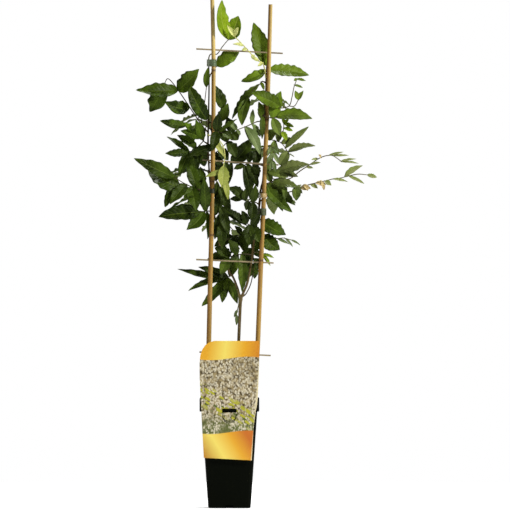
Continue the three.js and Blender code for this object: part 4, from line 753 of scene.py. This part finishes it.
sprays = {
  "leaf_top_left": ["young", 11, None,
    [[[-41, -1, 868.5], [-41.5, -4, 897], [-37, 4, 907], [-25, 5, 907], [-14, 1, 922], [-2, -6, 936]]],
    [[5, -15, -22, 1015, 27, 0, -0.12], [5, 18, -14, 983, 34, 0, 0.07]]],
  "leaf_left_top": ["mid", 60, ["left", 862],
    [[[-37, 6, 868], [-32, 7, 876], [-25, 5, 883]]],
    [[3, 20, 4, 911, 31]]],
  "leaf_left_high": ["mid", 12, ["left", 752],
    [[[-57, -4, 767], [-80, -10, 801], [-103, -16, 835], [-122, -18, 857], [-130, -14, 847]],
     [[-57, -4, 767], [-51, -7, 800], [-46, -9, 841]]],
    [[2, -130, -34, 811, 29, 0, -0.15], [3, -60, -50, 876, 38, 0, 0.09], [3, -187, -38, 834, 31, 0, -0.06],
     [5, -160, 6, 791, 40, 0, -0.07], [8, -43, -14, 880, 13, 0, -0.05]]],
  "leaf_left_fan": ["mid", 13, ["left", 728],
    [[[-52, -4, 733], [-66, -12, 748], [-87, -18, 764]], [[-52, -4, 733], [-66, 0, 719], [-80, 2, 711]],
     [[-52, -4, 733], [-48, -9, 755], [-45, -12, 775]]],
    [[3, -139, -34, 773, 19, 0, -0.07], [2.4, -92, -40, 768, 18, 0, -0.08], [1.5, -98, -40, 753, 20],
     [1.2, -68, -22, 776, 20], [9, -82, -30, 846, 30, 0, -0.05], [6, -126, 14, 742, 13],
     [5, -105, -8, 745, 20], [6, -129, -4, 708, 19, 0, -0.06], [6, -102, -8, 664, 20],
     [5, -62, -20, 690, 24], [5.6, -68, 17, 668, 24], [4.6, -50, 22, 682, 23]]],
  "leaf_left_mid": ["mid", 14, ["left", 640],
    [[[-60, -2, 636], [-86, -10, 646], [-110, -16, 660]], [[-86, -10, 646], [-100, -8, 640]]],
    [[3, -191, -40, 698, 28, 0, -0.03], [5, -164, -4, 677, 44, 0, -0.1], [5, -129, -26, 600, 23, 0, 0.05],
     [2, -119, -31, 606, 25], [1.6, -66, -30, 592, 28], [1.2, -84, 2, 690, 26], [1.2, -92, -24, 618, 24],
     [1, -58, 14, 682, 24]]],
  "leaf_left_low": ["mid", 15, ["left", 592],
    [[[-46, 2, 593], [-60, -6, 590]]],
    [[2, -142, -24, 581, 34], [1.4, -86, -26, 555, 30, 0, -0.12], [1.2, -51, -22, 662, 22],
     [1, -62, 22, 648, 20], [1, -44, 8, 536, 12, 0, -0.05]]],
  "leaf_bottom_left": ["dark", 16, ["left", 466],
    [[[2, 14, 463], [-3, 24, 461], [-6, 34, 459], [-8, 42, 457]]],
    [[3, -105, 22, 477, 15, 0, -0.05], [2, -63, 12, 481, 18], [4, -83, 22, 433, 14, 0, 0.05],
     [3, -60, 26, 451, 12], [4, -56, 34, 402, 22, 0, -0.07], [4, -15, 44, 409, 18], [2.5, 16, 30, 407, 18],
     [3, -7, 18, 421, 12], [1.4, 16, 28, 516, 22]]],
  "leaf_low_centre": ["dark", 17, ["right", 505],
    [[[32, 2, 507], [14, 2, 505], [-6, 2, 500]]],
    [[3, -47, 13, 494, 19, 0, 0.04], [2.6, -30, 0, 520, 22], [2.8, -18, 5, 466, 22], [2, -2, -14, 536, 22],
     [1.4, 25, -1, 430, 21]]],
  "leaf_low_right": ["mid", 18, ["right", 424],
    [[[34, 8, 429], [43.5, 14, 451], [49, 18, 488], [45, 20, 518]]],
    [[3, 36, 26, 459, 17], [3, 50, 34, 457, 15], [3.3, 66, 26, 474, 20], [4, 22, 36, 490, 20],
     [4, 68, 24, 538, 24], [3.5, 26, 34, 470, 17], [4, 60, 26, 500, 15]]],
  "leaf_centre_low": ["dark", 19, ["left", 530],
    [[[-8, 20, 534], [8, 24, 542], [24, 22, 546]]],
    [[2, -31, 26, 522, 24], [1, -36, 30, 560, 20], [2.4, 4, 12, 508, 22], [3, 32, 14, 508, 22],
     [3, 64, 28, 552, 22], [3, 10, 18, 564, 13]]],
  "leaf_centre_drop": ["dark", 20, ["left", 656],
    [[[-30, 10, 656], [-20, 8, 642], [-17, 3, 604], [-16, 2, 572]]],
    [[2.4, -28, 4, 584, 20], [2, 2, 4, 588, 20], [3.4, -30, 12, 536, 20], [3, -1, -6, 544, 20],
     [4, -14, -6, 517, 22], [3.1, 36, -6, 563, 16], [1.5, -27, 14, 615, 14]]],
  "leaf_pale_centre": ["pale", 21, ["left", 746],
    [[[-42, -14, 744], [-31, -27, 742], [-15, -26, 727], [-9, -20, 704], [-12, -16, 682], [-11, -14, 660]]],
    [[1.6, -10, -34, 700, 13], [5, -15, -18, 638, 24], [5.4, -49, -19, 661, 10], [6, -3, -14, 615, 13]]],
  "leaf_high_behind": ["dark", 22, ["left", 770],
    [[[-24, 8, 772], [-12, 9, 797]]],
    [[2, -33, 5, 846, 24], [1, -3, 2, 809, 22, 0, 0.12]]],
  "leaf_front_left": ["dark", 23, ["left", 760],
    [[[-43, -9, 760], [-38, -17, 757], [-26, -22, 752], [-12, -22, 748]], [[-38, -17, 757], [-31, -20, 738],
     [-27, -20, 722]]],
    [[7, -85, -30, 699, 20], [3, -22, -34, 788, 20], [3.4, 16, -30, 777, 9], [4, 6, -34, 736, 22],
     [3, -34, -36, 712, 20]]],
  "leaf_centre_high": ["dark", 24, ["left", 705],
    [[[-34, 12, 706], [-20, 10, 716], [-4, 6, 732], [6, 2, 748]]],
    [[4, 18, -4, 735, 26], [4, -6, 2, 782, 22], [3, 14, 0, 700, 24], [3, -26, 4, 762, 22],
     [2, -2, 2, 694, 22], [1.5, -24, 8, 676, 22]]],
  "leaf_centre_gap": ["dark", 25, ["left", 690],
    [[[-34, 17, 690], [-16, 20, 692], [4, 18, 690]]],
    [[3, 44, 14, 738, 31, 0, 0.07], [3, -4, 18, 642, 15], [2.5, -12, 14, 648, 18], [2, -28, 26, 652, 20]]],
  "leaf_centre_right": ["dark", 26, ["right", 684],
    [[[50, 2, 688], [38, 1, 690], [30, 0, 684]]],
    [[3, 41, 6, 615, 22], [2.5, 57, 10, 640, 18], [3, 8, 1, 676, 14], [3, 33, 4, 651, 11],
     [1, 56, 14, 716, 20], [1.2, 59, 8, 660, 16], [2, 43, 5, 714, 14]]],
  "leaf_inner_low": ["dark", 27, ["right", 607],
    [[[52, -8, 610], [38, -12, 612], [25, -12, 616]]],
    [[3, -3, -8, 640, 20, 0, 0.15], [3, 0, -6, 617, 13], [2, 33, -18, 594, 15], [1.4, 52, -18, 646, 18],
     [1.4, 44, -16, 571, 20], [2.6, 33, -16, 639, 14]]],
  "leaf_inner_base": ["dark", 61, ["right", 560],
    [[[44, -6, 563], [35, -10, 568]]],
    [[2, 24, -14, 594, 16], [2, -4, -16, 596, 14], [1, 62, -14, 588, 17], [1.5, 40, -14, 524, 24],
     [0.8, 60, -16, 530, 24]]],
  "leaf_right_top": ["mid", 28, None,
    [[[73.5, 3.4, 871.2], [73.5, 7, 875], [74, 10, 884]]],
    [[2, 48, 18, 971, 34], [1, 23, 6, 852, 21, 0, -0.09], [0.7, 160, 22, 865, 29]]],
  "leaf_right_droop": ["dark", 29, ["right", 850],
    [[[65, -7, 852], [60, -11, 846], [48, -16, 836], [38, -20, 818]]],
    [[2, 5, -24, 776, 20, 34], [4, 25, -30, 763, 23, 0, 0.07], [1.5, 69, -14, 834, 8]]],
  "leaf_right_front": ["mid", 30, ["right", 786],
    [[[66, -12, 784], [78, -18, 780], [92, -18, 780], [101, -20, 802]]],
    [[4, 43, -34, 829, 30], [2.4, 103, -8, 833, 26, 0, -0.03], [3, 166, -22, 777, 25, 0, -0.08],
     [3.2, 147, -10, 791, 14], [2.6, 101, -12, 743, 20], [1, 58, -14, 812, 12], [1, 65, -16, 736, 12]]],
  "leaf_inner_right": ["light", 31, ["right", 770],
    [[[57, -5, 772], [45, -10, 767], [31, -14, 761], [15, -16, 755]]],
    [[3, 61, -18, 705, 20, 0, -0.05], [2, 62, -11, 741, 12], [3, 48, -8, 722, 12], [2, 47, -8, 797, 10],
     [4, 22, -18, 744, 7], [4, -4, -24, 772, 12]]],
  "leaf_right_mid": ["mid", 32, ["right", 738],
    [[[72, 9, 738], [90, 8, 734], [104, 4, 729], [117, 0, 711]]],
    [[3.6, 159, -10, 762, 14], [4, 172, -14, 723, 16, 0, -0.05], [4, 100, 4, 684, 20],
     [1.3, 96, -6, 757, 20], [3, 128, 12, 738, 14], [2.5, 100, 20, 758, 14], [2, 84, 8, 698, 16]]],
  "leaf_right_level": ["mid", 33, ["right", 676],
    [[[72, 10, 674], [84, 10, 672], [96, 8, 674]]],
    [[3, 160, -12, 686, 26], [2.4, 138, 26, 662, 17], [1.5, 84, 24, 700, 18], [1.4, 118, 0, 660, 17],
     [1, 85, 14, 648, 15]]],
  "leaf_right_low": ["mid", 34, ["right", 642],
    [[[70, 10, 644], [86, 8, 652], [108, 2, 648], [132, -4, 640]]],
    [[2, 138, -12, 640, 22], [1.5, 132, 6, 604, 22], [1, 126, -6, 590, 24, 0, 0.05], [3, 111, -14, 615, 12],
     [4, 133, -14, 613, 19], [4, 146, 2, 628, 11], [1.4, 107, 2, 592, 18]]],
  "leaf_right_drop": ["mid", 35, ["right", 574],
    [[[62, 12, 577], [66, 15, 573]], [[62, 12, 577], [64, 13, 560], [69, 11, 545]]],
    [[2, 113, 2, 545, 32, 0, 0.07], [5, 101, 4, 515, 31, 0, 0.1]]],
  "shoot_right_top": ["young", 36, ["right", 802],
    [[[80, 8, 801], [100, 6, 799], [119, 0, 803], [125, -4, 821], [129, -6, 841], [135, -8, 857]],
     [[119, 0, 803], [130, 0, 803], [138, -2, 816]]],
    [[6, 153, -8, 853, 6], [6, 128, -10, 853, 6], [5.2, 147, -8, 839, 6], [9, 131, -8, 834, 11],
     [9, 148, -4, 834, 9]]],
  "shoot_right_tuft": ["young", 37, ["right", 752],
    [[[74, 12, 754], [91, 4, 755], [106, 0, 751], [109, -1, 768]]],
    [[4, 129, -4, 761, 9], [3.5, 127, 0, 753, 9], [4, 104, -8, 782, 8], [3, 114, -8, 733, 12],
     [4, 119, -8, 776, 8]]],
  "shoot_right_fern": ["light", 38, ["right", 720],
    [[[73, 9, 721], [82, 0, 724], [88, -14, 712], [86, -18, 694]]],
    [[2.4, 76, -20, 702, 9], [2.4, 100, -20, 704, 9], [3.2, 74, -22, 686, 9], [3.2, 99, -24, 686, 9],
     [4, 80, -24, 672, 9], [4, 93, -26, 670, 9]]],
  "shoot_right_long": ["young", 39, ["right", 660],
    [[[72, 14, 660], [98, 16, 656], [121, 12, 658], [141, 10, 673], [161, 6, 686], [177, 2, 697],
     [191, -2, 703], [205, -6, 704], [214, -8, 699], [225, -8, 691]]],
    [[7.5, 228, -12, 711, 5], [8.2, 239, -10, 704, 5], [9.8, 254, -8, 697, 5], [10, 259, -12, 687.5, 5],
     [5, 183, -4, 690, 6], [6, 163, -4, 695, 6], [6.4, 178, -8, 706, 6], [4.6, 168, 8, 679, 6]]],
  "shoot_right_level": ["young", 40, ["right", 630],
    [[[72, 15, 629], [100, 13, 628], [131, 6, 634], [147, 0, 642], [173, -6, 649], [191, -8, 653],
     [207, -8, 657], [222, -9, 659], [238, -10, 663]], [[232, -9.5, 661.5], [256, -11, 666.5],
     [276, -13, 665]]],
    [[3.8, 163, -10, 638, 13], [4.2, 156, -14, 633, 10], [5, 193, -10, 645, 12], [4.6, 177, -4, 638, 9],
     [5.6, 189, -14, 634, 8], [6, 204, -12, 644, 10], [7, 237, -12, 651, 7],
     [8.5, 267, -14, 684, 12, 0, -0.07], [9, 270, -10, 647, 7], [12, 295, -14, 660, 9],
     [3, 144, 2, 646, 9]]],
  "shoot_right_low": ["light", 41, ["right", 550],
    [[[66, 15, 546], [84, 14, 541], [96, 10, 538], [108, 7, 539], [123, 4, 535]]],
    [[5, 142, 2, 524, 5], [4.2, 127, 2, 521, 5], [3, 121, 2, 526, 6]]],
  "tuft_right_low": ["young", 42, ["right", 512],
    [[[56, 12, 510], [66, 10, 506]]],
    [[2, 89, 2, 499, 8], [2, 82, 6, 483, 8], [2, 80, 0, 492, 5]]],
  "shoot_top_pale": ["pale", 43, ["right", 861],
    [[[70, -8, 878], [66, -10, 889], [58, -12, 893], [45, -14, 905], [35, -14, 916], [21, -14, 931],
     [9, -20, 943], [6, -25, 953]]],
    [[7, -5, -30, 964, 10], [7, 18, -32, 960, 10], [5, 24, -18, 914, 8], [5.5, 6, -22, 926, 8],
     [4, 50, -18, 897, 8], [2, 56, -15, 882, 7], [3, 43, -18, 899, 8]]],
  "shoot_at_trunk": ["light", 44, ["left", 437],
    [[[17, -4, 430], [19, -4, 413], [16, -5, 395], [14, -6, 386]]],
    [[4, 14, -8, 364, 7], [3, 9, -7, 380, 6]]],
}

rearSprays = {      # seed, root and stalk of the leaves behind the ladder, whose leaflets follow one rule
  "leaf_rear_left_high": [51, ["left", 790], [[-56, 22, 786], [-64, 48, 778], [-70, 72, 766]]],
  "leaf_rear_left_mid": [52, ["left", 672], [[-56, 30, 676], [-76, 58, 680], [-96, 86, 672]]],
  "leaf_rear_left_low": [53, ["left", 610], [[-42, 36, 616], [-56, 64, 622], [-72, 90, 614]]],
  "leaf_rear_centre": [54, ["left", 572], [[-18, 38, 574], [-8, 66, 572], [6, 96, 556]]],
  "leaf_rear_high": [55, ["right", 815], [[75, 24, 820], [75, 50, 820], [72, 78, 808]]],
  "leaf_rear_right_mid": [56, ["right", 708], [[74, 32, 716], [72, 60, 722], [66, 86, 716]]],
  "leaf_rear_right_low": [57, ["right", 611], [[70, 36, 622], [78, 62, 630], [82, 90, 622]]],
}


def makeVine():
    look = barkLook
    roots = [row[2] for row in sprays.values() if row[2]] + [row[1] for row in rearSprays.values()]
    pile = Pile()
    for stem, rule in vine.items():
        points = smoothLine(vectors(rule["points"]), look["steps"])
        buds = [z for name, z in roots if name == stem]
        radii = []
        for i, p in enumerate(points):
            knot = min(sum(hump(p.z - z, look["knotLong"]) for z in buds), look["knotMost"])
            radius = blend(rule["radii"], i / (len(points) - 1))
            radii.append(radius * (1 + look["knot"] * knot + look["uneven"] * noise.noise(p * 0.08)))

        def ridged(i, angle, points=points):
            z = points[i].z
            rough = noise.noise(Vector((math.cos(angle) * 1.5, math.sin(angle) * 1.5, z * 0.06)))
            return 1 + look["ridge"] * math.sin(3 * angle + z * 0.05) + look["rough"] * rough
        addTube(pile, points, radii, look["sides"], shape=ridged)
    addTube(pile, vectors(vineKnee["points"]), vineKnee["radii"], look["sides"])
    pile.build("vineStems", [barkFinish()], "vine")


makeVine()
print("vine made")

# Leaves

# sunk, inside, thick, ribDeep, short and the two halves are in millimetres, and sway is in degrees
leafShape = dict(sunk=0.9, inside=0.3, start=0.012, leastHalf=0.16, tipHalf=0.05, point=0.22, pointFrom=0.62,
                 arch=0.07, fold=0.16, foldMore=0.22, wave=0.05, waves=11, scallop=0.055, crimp=0.12,
                 curl=0.1, twist=0.5, sway=26, thick=0.42, ribDeep=0.5, rib=0.08, front=(0.1, -1, 0.5),
                 rows=30, shortRows=16, short=30,
                 columns=(-1, -0.8, -0.55, -0.28, -0.06, 0, 0.06, 0.28, 0.55, 0.8, 1))
stalkShape = dict(first=(1.35, 0.8), other=(1.1, 0.75), rear=(1.35, 0.85), stub=(0.75, 0.5), sides=8,
                  stubSides=6, steps=5, collar=0.55, collarLong=3.2, sunk=0.3)
leafTones = {
    "dark": dict(deep=(18, 30, 3), bright=(84, 104, 28), vein=(84, 98, 42), under=(84, 96, 48),
                 stalk=(46, 42, 20)),
    "mid": dict(deep=(16, 32, 2), bright=(92, 120, 24), vein=(108, 126, 46), under=(96, 108, 50),
                stalk=(58, 50, 26)),
    "light": dict(deep=(70, 88, 40), bright=(126, 140, 90), vein=(164, 176, 124), under=(120, 132, 84),
                  stalk=(84, 80, 42)),
    "young": dict(deep=(92, 118, 12), bright=(134, 160, 26), vein=(180, 192, 84), under=(128, 142, 54),
                  stalk=(84, 80, 48)),
    "pale": dict(deep=(118, 130, 50), bright=(172, 174, 90), vein=(196, 196, 124), under=(140, 144, 76),
                 stalk=(206, 206, 120)),
}
# Among these tints, the olive and the strong yellow-green stand for light falling on the leaves, and the
# near-black green for shade among them: painted light and painted shade. The others are the leaves' own
# colours.
leafTintsAndLight = dict(olive=(124, 130, 78), moss=(140, 142, 100), low=(18, 26, 5), sunned=(118, 142, 34),
                   lemon=(220, 222, 140), dusky=(70, 84, 38), blush=(70, 46, 26))
leafSurface = dict(roughness=0.28, relief=[0.0005, 0.6], veins=9.5, veinSlant=1.7, net=620, patches=45,
                   grain=700)
stalkSurface = dict(roughness=0.62, relief=[0.0001, 0.6])
budLook = dict(cream=(222, 204, 148), husk=(150, 120, 58), dark=(84, 66, 34), roughness=0.7,
               relief=[0.0003, 0.7])
budScales = {"shoot_right_level": (0, 1, 2, 4), "shoot_right_long": (6,)}      # leaflets that are still husks


def leafFinish(tone):
    look = {**leafTones[tone], **leafTintsAndLight, **leafSurface}
    f = Finish(tone + "Leaf", look, Specular_IOR_Level=0.12, Specular_Tint=(0.9, 1.0, 0.62))
    across, along, shade, under = (f.read(mark) for mark in marks)
    x, z = f.axis("X"), f.axis("Z")
    out = abs(across)
    stripe = along * look["veins"] - out * look["veinSlant"] + shade * 0.8
    stripe = abs(stripe.maths("FRACT") - 0.5) * 2
    vein = stripe.between(0.82, 1.0) * (1 - out * 0.35)
    rib = 1 - out.between(0.015, 0.075)
    net = f.cells(look["net"], "DISTANCE_TO_EDGE").between(0.0, 0.12)
    patch = f.cloud(look["patches"], 4)
    fine = f.cloud(look["grain"], 3)
    f.colour = f.mix((shade * 0.8 + (patch - 0.5) * 2.6 + (fine - 0.5) * 0.8).clipped(), "deep", "bright")
    # Upper leaves, and a patch on the right, are painted lighter in patches: painted light and painted
    # highlights.
    high = (z.between(0.8, 0.93) + x.between(0.02, 0.06) * z.between(0.74, 0.78) * 0.6).clipped()
    if tone in ("dark", "mid", "light"):
        f.coat(high * (0.35 + patch * 0.5), "sunned")
    if tone in ("dark", "mid"):
        # Leaves of these tones are painted darker in a band of heights inside the plant, and low on the
        # right-hand side: painted shade.
        f.coat((z.between(0.44, 0.56) - z.between(0.7, 0.8)) * (1 - x.between(0.03, 0.1)) * 0.6, "low")
        f.coat(x.between(0.02, 0.08) * (1 - z.between(0.6, 0.68)) * 0.4, "low")
        # Right-hand leaves at mid height are painted a lighter olive: painted light on the side the light
        # falls on.
        f.coat(x.between(0.05, 0.12) * (z.between(0.6, 0.68) - z.between(0.74, 0.8)) * 0.65, "olive")
    elif tone == "light":
        # The low leaves of this tone are painted darker: painted shade.
        f.coat((1 - z.between(0.4, 0.48)) * 0.6, "low")
    elif tone == "young":
        f.coat(x.between(0.06, 0.12) * (1 - z.between(0.715, 0.735)) * 0.85, "moss")
        f.coat(x.between(0.1, 0.13) * z.between(0.79, 0.81) * 0.6, "dusky")
    else:
        f.coat(high * 0.9, "lemon")
    half = across.between(-0.12, 0.12)                       # one half of a leaf catches less light
    f.coat(abs(half - shade.between(0.4, 0.6)) * 0.4 + out.between(0.7, 1.0) * 0.3, "deep")
    f.coat((1 - net) * 0.1 + vein * 0.25, "vein")
    f.coat(rib * 0.5, "vein")
    f.coat(under * 0.75, "under")
    height = ((1 - stripe ** 2.0) * 0.8 + net * 0.12 - rib * 1.3) * (1 - under * 2) + fine * 0.1
    return f.finish(under * 0.28 + patch * 0.2, height)


def stalkFinish(tone):
    f = Finish(tone + "Stalk", {**leafTones[tone], **leafTintsAndLight, **stalkSurface}, Specular_IOR_Level=0.2)
    f.colour = f.mix(f.cloud(120, 3, at=(1, 1, 0.6)).between(0.4, 0.75) * 0.55, "stalk", "blush")
    down = f.cloud(2600, 2)
    return f.finish(down * 0.15, down)


def budFinish():
    f = Finish("budHusk", budLook, Specular_IOR_Level=0.2)
    fibres = f.cloud(900, 4)
    f.colour = f.mix(fibres.between(0.35, 0.65), "husk", "cream")
    f.coat(f.read("along").between(0.55, 1.0) * 0.6, "dark")
    return f.finish(height=fibres)


budMaterial = budFinish()
leafMaterials = {tone: [leafFinish(tone), stalkFinish(tone)] for tone in leafTones}


def outlineHalf(s, phase):            # half of an oval blade, drawn out to a longer or shorter point
    late = clip((s - leafShape["pointFrom"]) / (1 - leafShape["pointFrom"]))
    oval = max(math.sin(math.pi * s ** 0.85), 0.0) ** 0.75
    return oval * (1 - leafShape["point"] * (0.6 + 0.6 * math.sin(phase * 5)) * late * late * (3 - 2 * late))


def addBlade(pile, root, along, side, normal, length, width, fold, phase, shade, bow=0.0, slot=0):
    shape, columns = leafShape, leafShape["columns"]
    rows = shape["shortRows"] if length < shape["short"] else shape["rows"]
    wide = len(columns)
    curl = shape["curl"] * math.sin(phase * 2.3)
    scallops = 3.2 + length / 34 + 1.2 * math.sin(phase * 7)        # waves along each edge
    deep = shape["scallop"] * (0.7 + 0.5 * math.sin(phase * 11))
    twist = shape["twist"] * math.sin(phase * 4.1)
    arch = normal * (shape["arch"] * length) + side * (bow * length)
    upper, lower, u, v = [], [], [], []
    for i in range(rows + 1):
        s = 1.0 if i == rows else blend((shape["start"], 1), i / rows)
        half = max(outlineHalf(s, phase) * width / 2, shape["leastHalf"] if s < 1 else shape["tipHalf"])
        wave = shape["wave"] * width * min(1.0, half / (0.3 * width))
        turned = Quaternion(along, twist * (s - 0.45))
        flat, up = turned @ side, turned @ normal
        rib = root + along * (length * s) + arch * (4 * s * (1 - s))
        skin = shape["thick"] * (0.25 + 0.25 * min(1.0, half / 2))
        for place in columns:
            edge, hand = abs(place), 1 if place > 0 else -1
            beat = math.sin(2 * math.pi * scallops * s + phase * (3 + hand) + hand)
            lift = fold(s) * edge ** 1.3 + shape["crimp"] * beat * edge ** 3 + curl * (edge ** 2 - 0.3) * edge
            lift = lift * half + wave * math.sin(phase + place + shape["waves"] * s) * edge ** 2
            point = rib + flat * (half * place * (1 + deep * beat * edge ** 2)) + up * lift
            middle = hump(place, shape["rib"])
            upper.append(point + up * (skin - 0.15 * middle * (1 - s)))
            lower.append(point - up * (skin + shape["ribDeep"] * middle * (1 - s) ** 0.7))
            u.append(place)
            v.append(s)
    count = len(upper)
    faces = []
    for i in range(rows):
        for a in range(i * wide, i * wide + wide - 1):
            faces.append((a, a + 1, a + 1 + wide, a + wide))
            faces.append((count + a, count + a + wide, count + a + wide + 1, count + a + 1))
    loop = [*range(wide), *range(2 * wide - 1, count, wide), *range(count - 2, count - wide - 1, -1),
            *range(count - 2 * wide, 0, -wide)]
    for a, b in zip(loop, loop[1:] + loop[:1]):
        faces.append((b, a, a + count, b + count))
    pile.add(upper + lower, faces, slot, across=u + u, along=v + v, shade=shade,
             under=[0.0] * count + [1.0] * count)
    foot = root + along * (0.03 * length) + arch * 0.1
    addTube(pile, [root - along, foot], stalkShape["stub"], stalkShape["stubSides"], 1)


def placeOn(lines, place):             # a place counted over all the stalks' points
    for line in lines:
        if place <= len(line) - 1 + 1e-9:
            return curvePoint(line, min(place, len(line) - 1.0))
        if place < len(line):          # between one stalk and the next
            return line[-1]
        place -= len(line)


def rootOf(root, toward):
    centre, radius, heading = stemAt(*root)
    away = toward - centre
    away = (away - heading * away.dot(heading)).normalized()
    return centre, centre + away * (radius + stalkShape["sunk"])


def addStalk(pile, line, radii, centre=None):
    shape = stalkShape
    points = smoothLine(line, shape["steps"])
    sizes = [blend(radii, i / (len(points) - 1)) for i in range(len(points))]
    if centre is not None:
        sizes = [size * (1 + shape["collar"] * hump((p - points[0]).length, shape["collarLong"]))
                 for size, p in zip(sizes, points)]
        points.insert(0, centre)
        sizes.insert(0, sizes[0] * 0.8)
    addTube(pile, points, sizes, shape["sides"], 1)


def makeSpray(name, tone, seed, rootPlace, stalks, leaflets):
    shape = leafShape
    draw, extra = seededDraws(seed), seededDraws(seed + 500)
    lines = [vectors(stalk) for stalk in stalks]
    centre = None
    if rootPlace:
        centre, point = rootOf(rootPlace, lines[0][0])
        lines[0].insert(0, point)
    pile = Pile()
    for i, line in enumerate(lines):
        addStalk(pile, line, stalkShape["other" if i else "first"], None if i else centre)
    for number, (place, x, y, z, width, *more) in enumerate(leaflets):
        turn, bow = (*more, 0, 0)[:2]
        tip, start = Vector((x, y, z)), placeOn(lines, place)
        along = (tip - start).normalized()
        root = start - along * shape["sunk"]
        normal = Vector(shape["front"])
        normal = (normal - along * normal.dot(along)).normalized()
        normal.rotate(Quaternion(along, math.radians(turn + shape["sway"] * (draw() - 0.5))))
        phase = draw() * 2 * math.pi
        steep = shape["fold"] + shape["foldMore"] * extra()
        slot = 2 if number in budScales.get(name, ()) else 0
        addBlade(pile, root, along, along.cross(normal), normal, (tip - root).length - shape["inside"], width,
                 lambda s: steep, phase, extra(), bow, slot)
    materials = leafMaterials[tone] + [budMaterial] * (name in budScales)
    pile.build(name + "_fine", materials, name)


rearLeaf = dict(length=62, lengths=(0.88, 1.12), width=25, widths=(0.9, 1.1), forward=0.55, sideways=0.8,
                droop=0.35, ribHalf=1.1, fold=0.2, folds=(0.6, 1.4), foldFrom=0.3, foldOver=0.42)


def makeRearSpray(name, seed, rootPlace, stalk):
    rule = rearLeaf
    draw, extra = seededDraws(seed + 100), seededDraws(seed + 500)
    rib = vectors(stalk)
    centre, point = rootOf(rootPlace, rib[0])
    rib.insert(0, point)
    last = len(rib) - 1
    drop = Vector((0, 0, rule["droop"]))
    pile = Pile()
    addStalk(pile, rib, stalkShape["rear"], centre)

    def leaflet(base, across, heading):
        heading = heading.normalized()
        length = rule["length"] * blend(rule["lengths"], draw())
        width = rule["width"] * blend(rule["widths"], draw())
        side = (across - heading * across.dot(heading)).normalized()
        normal = side.cross(heading)
        if normal.z < 0:
            normal = -normal
        lifts = [rule["fold"] * blend(rule["folds"], draw()) for _ in range(2)]
        addBlade(pile, base, heading, side, normal, length - leafShape["inside"], width,
                 lambda s: blend(lifts, clip((s - rule["foldFrom"]) / rule["foldOver"])),
                 extra() * 6.28, extra())

    def ahead(i):
        heading = (rib[min(i + 1, last)] - rib[i - 1]).normalized()
        return heading, heading.cross(Vector((0, 0, 1))).normalized()

    for i in range(last - 1, 0, -1):
        heading, side = ahead(i)
        for hand in (-1, 1):
            leaflet(rib[i] + side * (hand * rule["ribHalf"]), heading,
                    heading * rule["forward"] + side * (hand * rule["sideways"]) - drop)
    heading, side = ahead(last)
    leaflet(rib[last], side, heading - drop)
    pile.build(name + "_fine", leafMaterials["mid"], name)


for name, row in sprays.items():
    makeSpray(name, *row)
for name, row in rearSprays.items():
    makeRearSpray(name, *row)
print("leaves made")

# Stage, light and camera

stageLook = dict(paper=(250, 250, 250), speck=(231, 231, 231), specks=0.02, roughness=0.9, glow=0.55,
                 radius=1600, sides=96)


def makeStage():
    look = stageLook
    f = Finish("floorPaper", look, Specular_IOR_Level=0.2, Emission_Strength=look["glow"])
    plug(f.shader.inputs["Emission Color"], f.tone("paper"))
    f.colour = f.mix(f.cloud(30, 3) * look["specks"], "paper", "speck")
    ring = [spoke(a) * look["radius"] for a in anglesRound(look["sides"])]
    mesh = meshOf("floor", ring, [tuple(range(len(ring)))])
    mesh.materials.append(f.finish())
    addObject("floor", mesh)


makeStage()

lamps = [
    dict(name="keyLight", at=(2.4, -2.4, 2.4), size=0.6, power=145),
    dict(name="fillLight", at=(-2.8, -1.6, 1.2), size=1.4, power=15),
    dict(name="topLight", at=(0.2, 0.8, 2.9), size=1.0, power=58),
]
aim = Vector((0.0, 0.0, 0.45))
for lamp in lamps:
    light = bpy.data.lights.new(lamp["name"], "AREA")
    light.shape = "DISK"
    light.size = lamp["size"]
    light.energy = lamp["power"]
    holder = addObject(lamp["name"], light)
    holder.location = lamp["at"]
    holder.rotation_mode = "QUATERNION"
    holder.rotation_quaternion = (aim - holder.location).to_track_quat("-Z", "Y")

studio = dict(backdrop=1.0, ambient=0.11)
world = bpy.data.worlds.new("studio")
world.use_nodes = True
sky = world.node_tree.nodes["Background"]
sky.inputs["Color"].default_value = (1, 1, 1, 1)
seen = Wire(world.node_tree.nodes.new("ShaderNodeLightPath").outputs["Is Camera Ray"])
plug(sky.inputs["Strength"], seen * (studio["backdrop"] - studio["ambient"]) + studio["ambient"])
bpy.context.scene.world = world
bpy.context.scene.view_settings.view_transform = "Standard"

lens = dict(centre=(0.051, 0.505), span=1.02, away=14.0, sensor=36.0)
camera = bpy.data.cameras.new("camera")
camera.sensor_width = lens["sensor"]
camera.lens = lens["sensor"] * lens["away"] / lens["span"]
cameraHolder = addObject("camera", camera)
cameraHolder.location = (lens["centre"][0], -lens["away"], lens["centre"][1])
cameraHolder.rotation_euler = (math.pi / 2, 0, 0)
bpy.context.scene.camera = cameraHolder
print("stage, light and camera set")
